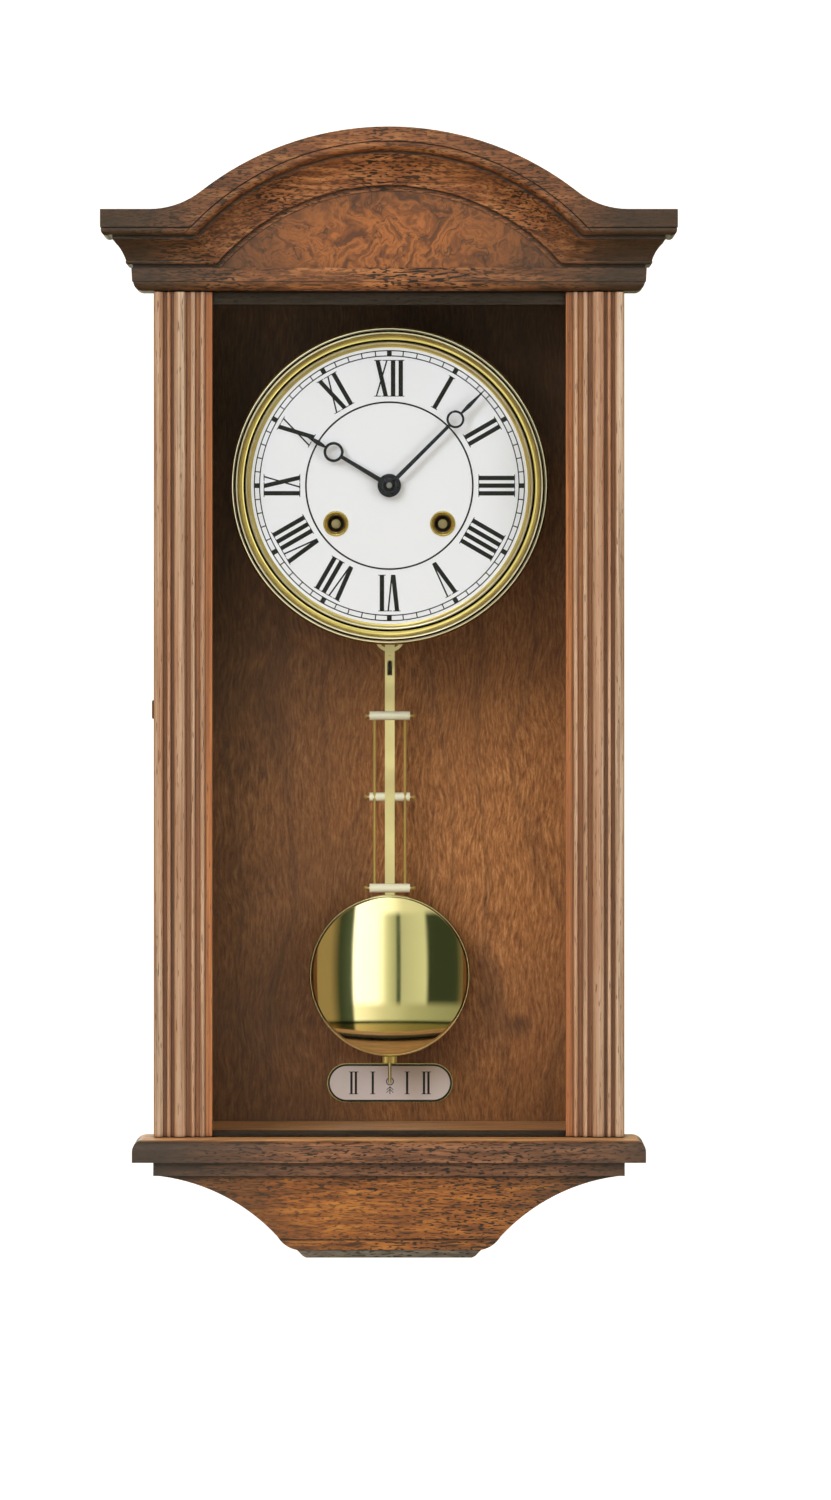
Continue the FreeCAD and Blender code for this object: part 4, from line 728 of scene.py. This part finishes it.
def plaque_print(ink, gilt):
    """Border, beat scale and a plain centre mark on the plaque."""
    half = mm(35.0)
    end = mm(10.8)

    def outline(inset, steps=24):
        points = []
        radius = end - inset
        for side in (1, -1):
            for k in range(steps + 1):
                angle = math.pi * k / steps - math.pi / 2
                points.append((side * (half - end + radius * math.cos(angle)),
                               PLAQUE_Z + side * radius * math.sin(angle)))
        return points

    def border(outer, inner):
        big, small = outline(outer), outline(inner)
        count = len(big)
        return [[big[k], big[(k + 1) % count], small[(k + 1) % count], small[k]] for k in range(count)]

    stacked("plaque_line", [border(mm(0.22), mm(1.35))], PLAQUE_FACE, ink, "case")
    stacked("plaque_gilt", [border(mm(0.02), mm(0.22))], PLAQUE_FACE, gilt, "case")
    tall = mm(12.7)
    low, high = PLAQUE_Z - tall / 2, PLAQUE_Z + tall / 2
    stroke, serif = mm(1.25), mm(0.4)
    marks = []
    for place, count in ((-20.3, 2), (-9.6, 1), (9.6, 1), (20.3, 2)):
        for k in range(count):
            x = mm(place) + (k - (count - 1) / 2) * mm(2.5)
            marks.append(bar(x - stroke / 2, x + stroke / 2, low + serif, high - serif))
        wide = mm(1.35 + 1.25 * (count - 1))
        marks.append(bar(mm(place) - wide, mm(place) + wide, low, low + serif))
        marks.append(bar(mm(place) - wide, mm(place) + wide, high - serif, high))
    marks += ring_quads((0, PLAQUE_Z + mm(0.8)), mm(1.7), mm(2.2), 40)
    tip = PLAQUE_Z - mm(1.9)
    for side in (-1, 1):
        for drop in (0.0, 1.5):
            z = tip - mm(drop)
            end_x = side * mm(1.9)
            marks.append([(0, z), (0, z - mm(0.5)), (end_x, z - mm(2.3)), (end_x, z - mm(1.8))])
    stem = [bar(-mm(0.22), mm(0.22), low, tip)]
    stacked("plaque_marks", [marks, stem], PLAQUE_FACE, ink, "case")


# ---- turned brass pieces ----
ON_AXIS = 1e-7


def turned_mesh(name, profile, centre, steps):
    """Closed surface of revolution about the Y axis through centre, from (radius, y) points."""
    verts = []
    faces = []
    rows = []
    for radius, y in profile:
        if radius < ON_AXIS:
            rows.append([len(verts)])
            verts.append((centre[0], y, centre[1]))
            continue
        row = []
        for k in range(steps):
            angle = 2 * math.pi * k / steps
            row.append(len(verts))
            verts.append((centre[0] + radius * math.cos(angle), y, centre[1] + radius * math.sin(angle)))
        rows.append(row)
    closed = len(rows[0]) > 1
    following = rows[1:] + rows[:1] if closed else rows[1:]
    for first, second in zip(rows, following):
        for k in range(steps):
            n = (k + 1) % steps
            if len(first) == 1:
                faces.append((first[0], second[k], second[n]))
            elif len(second) == 1:
                faces.append((first[k], second[0], first[n]))
            else:
                faces.append((first[k], second[k], second[n], first[n]))
    return closed_mesh(name, verts, faces)


def arc_points(start, end, bulge, steps):
    """Points on a shallow arc from start to end; its middle stands out by bulge, to the left of travel."""
    points = []
    dx, dy = end[0] - start[0], end[1] - start[1]
    length = math.hypot(dx, dy)
    for k in range(steps + 1):
        t = k / steps
        lift = 4 * bulge * t * (1 - t)
        points.append((start[0] + dx * t - dy / length * lift,
                       start[1] + dy * t + dx / length * lift))
    return points


def bezel(material):
    """Spun bezel: steps, grooves and a rolled band, all from one turned section; its cream steps and black
    grooves are painted highlight and painted shade in its material.
    """
    section = [(75.6, 0.9), (75.6, -0.6)]
    section += arc_points((75.6, -0.6), (77.2, -1.5), 0.25, 4)[1:]
    section += [(77.5, -0.8)]
    section += arc_points((77.6, -1.4), (78.9, -2.4), 0.3, 4)
    section += [(79.2, -1.3)]
    section += arc_points((79.7, -1.9), (82.4, -3.7), 0.75, 10)
    section += [(82.5, -2.7)]
    section += arc_points((82.7, -3.3), (83.9, -3.2), 0.22, 4)
    section += [(84.1, -1.8)]
    section += arc_points((84.9, -2.3), (85.9, -1.9), 0.2, 3)
    section += arc_points((86.1, -1.3), (86.95, 0.3), 0.3, 4)
    section += [(86.95, 4.4), (86.0, 4.4), (86.0, 1.5)]
    profile = [(mm(radius), DIAL_FACE + mm(y)) for radius, y in section]
    mesh = turned_mesh("bezel", profile, (DIAL_X, DIAL_Z), 256)
    piece = add_piece("bezel", mesh, material, "case", smooth=True)
    crisp(piece, 38)
    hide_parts("dial_bezel")


def grommets(material, shade_sleeve_material):
    """Rolled brass rings around the winding holes, each with a dark sleeve set behind it: painted shade, so
    the holes read dark.
    """
    low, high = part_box("winding_grommets")
    side = high[0] - mm(7.0)
    height = (low[2] + high[2]) / 2
    flange = [(4.75, 1.4), (5.35, 1.4), (5.35, -0.02), (6.98, -0.02), (7.0, -0.3)]
    flange += arc_points((6.9, -0.5), (5.7, -0.6), 0.4, 6)
    flange += [(5.4, -0.1), (4.75, 0.3)]
    # Dark sleeve behind each hole: painted shade.
    shade_sleeve = [(4.7, 0.4), (4.7, 7.0), (2.55, 7.0), (2.55, 6.4), (4.2, 5.6), (4.4, 0.4)]
    for sign, label in ((-1, "left"), (1, "right")):
        for kind, section, skin, slot in (("ring", flange, material, "polished_brass"),
                                          ("well", shade_sleeve, shade_sleeve_material, "blued_steel")):
            profile = [(mm(radius), DIAL_FACE + mm(y)) for radius, y in section]
            mesh = turned_mesh("grommet_" + kind, profile, (sign * side, height), 72)
            piece = add_piece("grommet_%s_%s" % (kind, label), mesh, skin, "case", smooth=True)
            crisp(piece, 35)
            if kind == "ring" and label == "left":
                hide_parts("winding_grommets")


def slot_shade_strip(material):
    """Thin dark strip behind the slot at the top of the pendulum rod: painted shade, so the slot reads dark.
    """
    half = mm(1.3)
    low = CASE_BOTTOM + mm(314.0)
    high = CASE_BOTTOM + mm(321.8)
    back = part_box("pendulum_rod")[0][1] + mm(2.0)
    mesh = print_mesh("slot_shade_strip", [bar(-half, half, low, high)], back, mm(0.2))
    add_piece("slot_shade_strip", mesh, material, "pendulum")


def bob_front(material):
    """Deep-polished dome with a small rolled rim."""
    radius = (BOB_HIGH[0] - BOB_LOW[0]) / 2
    centre = ((BOB_HIGH[0] + BOB_LOW[0]) / 2, (BOB_HIGH[2] + BOB_LOW[2]) / 2)
    back = BOB_HIGH[1]
    crown = BOB_LOW[1]
    rim = mm(1.1)
    face_r = radius - rim
    face_y = back - mm(3.8)
    rise = face_y - crown
    sphere_r = (face_r ** 2 + rise ** 2) / (2 * rise)
    profile = [(0.0, crown)]
    steps = 40
    top_angle = math.asin(face_r / sphere_r)
    for k in range(1, steps + 1):
        angle = top_angle * k / steps
        profile.append((sphere_r * math.sin(angle), crown + sphere_r * (1 - math.cos(angle))))
    rim_steps = 8
    for k in range(1, rim_steps + 1):
        angle = math.pi * 0.75 * k / rim_steps
        profile.append((face_r + rim / 2 - rim / 2 * math.cos(angle),
                        face_y + rim * 0.55 - rim * 0.55 * math.cos(angle - math.pi * 0.25) + mm(0.15)))
    profile.append((face_r, back))
    shell = mm(0.8)
    for k in range(steps, 0, -1):
        angle = top_angle * k / steps
        profile.append(((sphere_r - shell) * math.sin(angle),
                        crown + shell + (sphere_r - shell) * (1 - math.cos(angle))))
    profile.append((0.0, crown + shell))
    mesh = turned_mesh("bob_dome", profile, centre, 192)
    piece = add_piece("bob_dome", mesh, material, "bob", smooth=True)
    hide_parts("bob_shell")


# ---- finish of every carried-over node ----
def paint(material, *names):
    for name in names:
        node = NODES[name]
        node.data.materials.clear()
        node.data.materials.append(material)


def smooth_by_angle(degrees, *names):
    for name in names:
        node = NODES[name]
        crisp(node, degrees)
        for polygon in node.data.polygons:
            polygon.use_smooth = True


def finish_nodes():
    dark_pore = srgb(24, 16, 14)
    crown_mid = (0.0, (TYMPANUM_LOW[2] + TYMPANUM_HIGH[2]) / 2)
    crown = wood("crown_wood", "x", srgb(96, 53, 28), srgb(160, 97, 55), srgb(204, 140, 84), dark_pore,
                 0.41, (crown_mid, 0.45, (0.130, 0.080)), srgb(54, 42, 33))
    frieze = wood("frieze_wood", "x", srgb(88, 52, 28), srgb(150, 92, 52), srgb(196, 130, 76), dark_pore,
                  0.40, (crown_mid, 0.38, (0.130, 0.10)), srgb(60, 47, 38))
    base_mid = (0.0, CASE_BOTTOM + mm(35))
    base = wood("base_wood", "x", srgb(98, 54, 16), srgb(160, 92, 30), srgb(206, 132, 48), dark_pore,
                0.40, (base_mid, 0.40, (0.120, 0.070)), srgb(54, 42, 32))
    # The plinth's top colour is painted light on the upward faces.
    plinth = wood("plinth_wood", "x", srgb(76, 46, 30), srgb(126, 80, 50), srgb(164, 110, 72), dark_pore,
                  0.38, ((0.02, base_mid[1]), 0.30, (0.150, 0.12)), srgb(60, 50, 44),
                  top=srgb(236, 176, 120))
    strip = wood("strip_wood", "x", srgb(70, 60, 50), srgb(104, 92, 78), srgb(140, 128, 112), dark_pore, 0.34)
    sides = wood("side_wood", "z", srgb(70, 42, 28), srgb(108, 64, 40), srgb(138, 88, 56), dark_pore, 0.37)
    plain = wood("inner_wood", "x", srgb(62, 40, 28), srgb(92, 58, 40), srgb(116, 78, 54), dark_pore, 0.36,
                 coat=0.05, rough=(0.5, 0.65))
    rail = wood("rail_wood", "x", srgb(36, 30, 23), srgb(48, 40, 31), srgb(62, 50, 38), dark_pore, 0.35,
                coat=0.0, rough=(0.6, 0.75))
    paint(crown, "crown_moulding", "crown_returns")
    paint(frieze, "frieze_rail")
    paint(base, "drop_front", "drop_body")
    paint(plinth, "base_plate", "under_board")
    paint(strip, "drop_strip")
    paint(sides, "side_panels")
    paint(plain, "top_board", "door_catch")
    paint(rail, "door_rails", "glass_beads")
    paint(reeded_wood(), "door_stile_left", "door_stile_right")
    paint(back_veneer(), "back_board")
    tymp_mid = (0.0, TYMPANUM_LOW[2] + 0.35 * (TYMPANUM_HIGH[2] - TYMPANUM_LOW[2]))
    paint(burl("burl_panel", (tymp_mid, 0.30, (0.090, 0.040))), "tympanum_panel")
    paint(pane(), "door_glass")

    bright = brass("bright_brass", srgb(232, 214, 142), 0.10)
    mirror = brass("mirror_brass", srgb(238, 228, 178), 0.045, tarnish=0.08)
    rod = brass("rod_brass", srgb(244, 232, 176), 0.36, brushed=0.15, tarnish=0.12)
    wire = plain_metal("wire_brass", srgb(226, 200, 112), 0.35, metallic=0.6)
    # Cross bars: the near-white cream stands in for the bright sheen of polished brass.
    cream = sheen_painted_bar("painted_sheen_brass", mm(11.3))
    arbor_end = plain_metal("arbor_steel", srgb(160, 146, 112), 0.3)
    # Near-black material for the slot strip and the grommet sleeves: painted shade.
    painted_shade_dark = enamel("painted_shade_material", srgb(50, 36, 14), 0.5, 0.4)
    works = brass("works_brass", srgb(204, 168, 98), 0.32, brushed=0.2)
    steel = plain_metal("plain_steel", srgb(150, 150, 150), 0.35)
    blued = plain_metal("blued_steel", srgb(26, 32, 40), 0.28, metallic=0.4)
    iron = plain_metal("cast_iron", srgb(70, 70, 70), 0.6)
    white = enamel("dial_enamel", srgb(242, 245, 252), 0.4, 0.02)
    plaque = enamel("plaque_enamel", srgb(242, 230, 226), 0.4)
    ink = enamel("printed_ink", srgb(14, 22, 22), 0.6, 0.3)

    paint(brass("pull_brass", srgb(112, 78, 36), 0.35), "door_pull")
    paint(bright, "door_pivot_pins")
    paint(rod, "pendulum_rod", "pendulum_leader")
    paint(wire, "side_rods", "rating_nut")
    paint(cream, "cross_bars")
    paint(works, "front_plate", "back_plate", "movement_pillars", "going_barrel", "strike_barrel",
          "third_wheel", "escape_wheel", "minute_wheel", "hour_wheel", "strike_second_wheel", "fly",
          "suspension_cock", "hammer")
    paint(steel, "pillar_nuts", "movement_brackets", "case_fasteners", "wall_hanger", "anchor",
          "suspension_spring", "winding_clicks", "gong_coil", "catch_strike", "centre_arbor")
    paint(arbor_end, "going_winding_arbor", "strike_winding_arbor")
    paint(iron, "bob_weight", "gong_block")
    paint(white, "dial_plate")
    paint(plaque, "beat_plate")
    paint(blued, "hour_hand", "minute_hand", "hand_nut")
    smooth_by_angle(32, "crown_moulding", "crown_returns", "frieze_rail", "base_plate", "drop_front",
                    "drop_body", "door_stile_left", "door_stile_right", "cross_bars", "side_rods",
                    "rating_nut", "hand_nut", "tympanum_panel", "pendulum_leader", "gong_coil",
                    "suspension_spring", "wall_hanger")
    # Dark strip behind the rod's slot: painted shade.
    slot_shade_strip(painted_shade_dark)
    bezel(painted_highlight_ring("bezel_brass"))
    grommets(bright, painted_shade_dark)
    bob_front(mirror)
    dial_print(ink)
    plaque_print(ink, bright)


make_camera()
make_lights()
make_world()
make_stage()
finish_nodes()
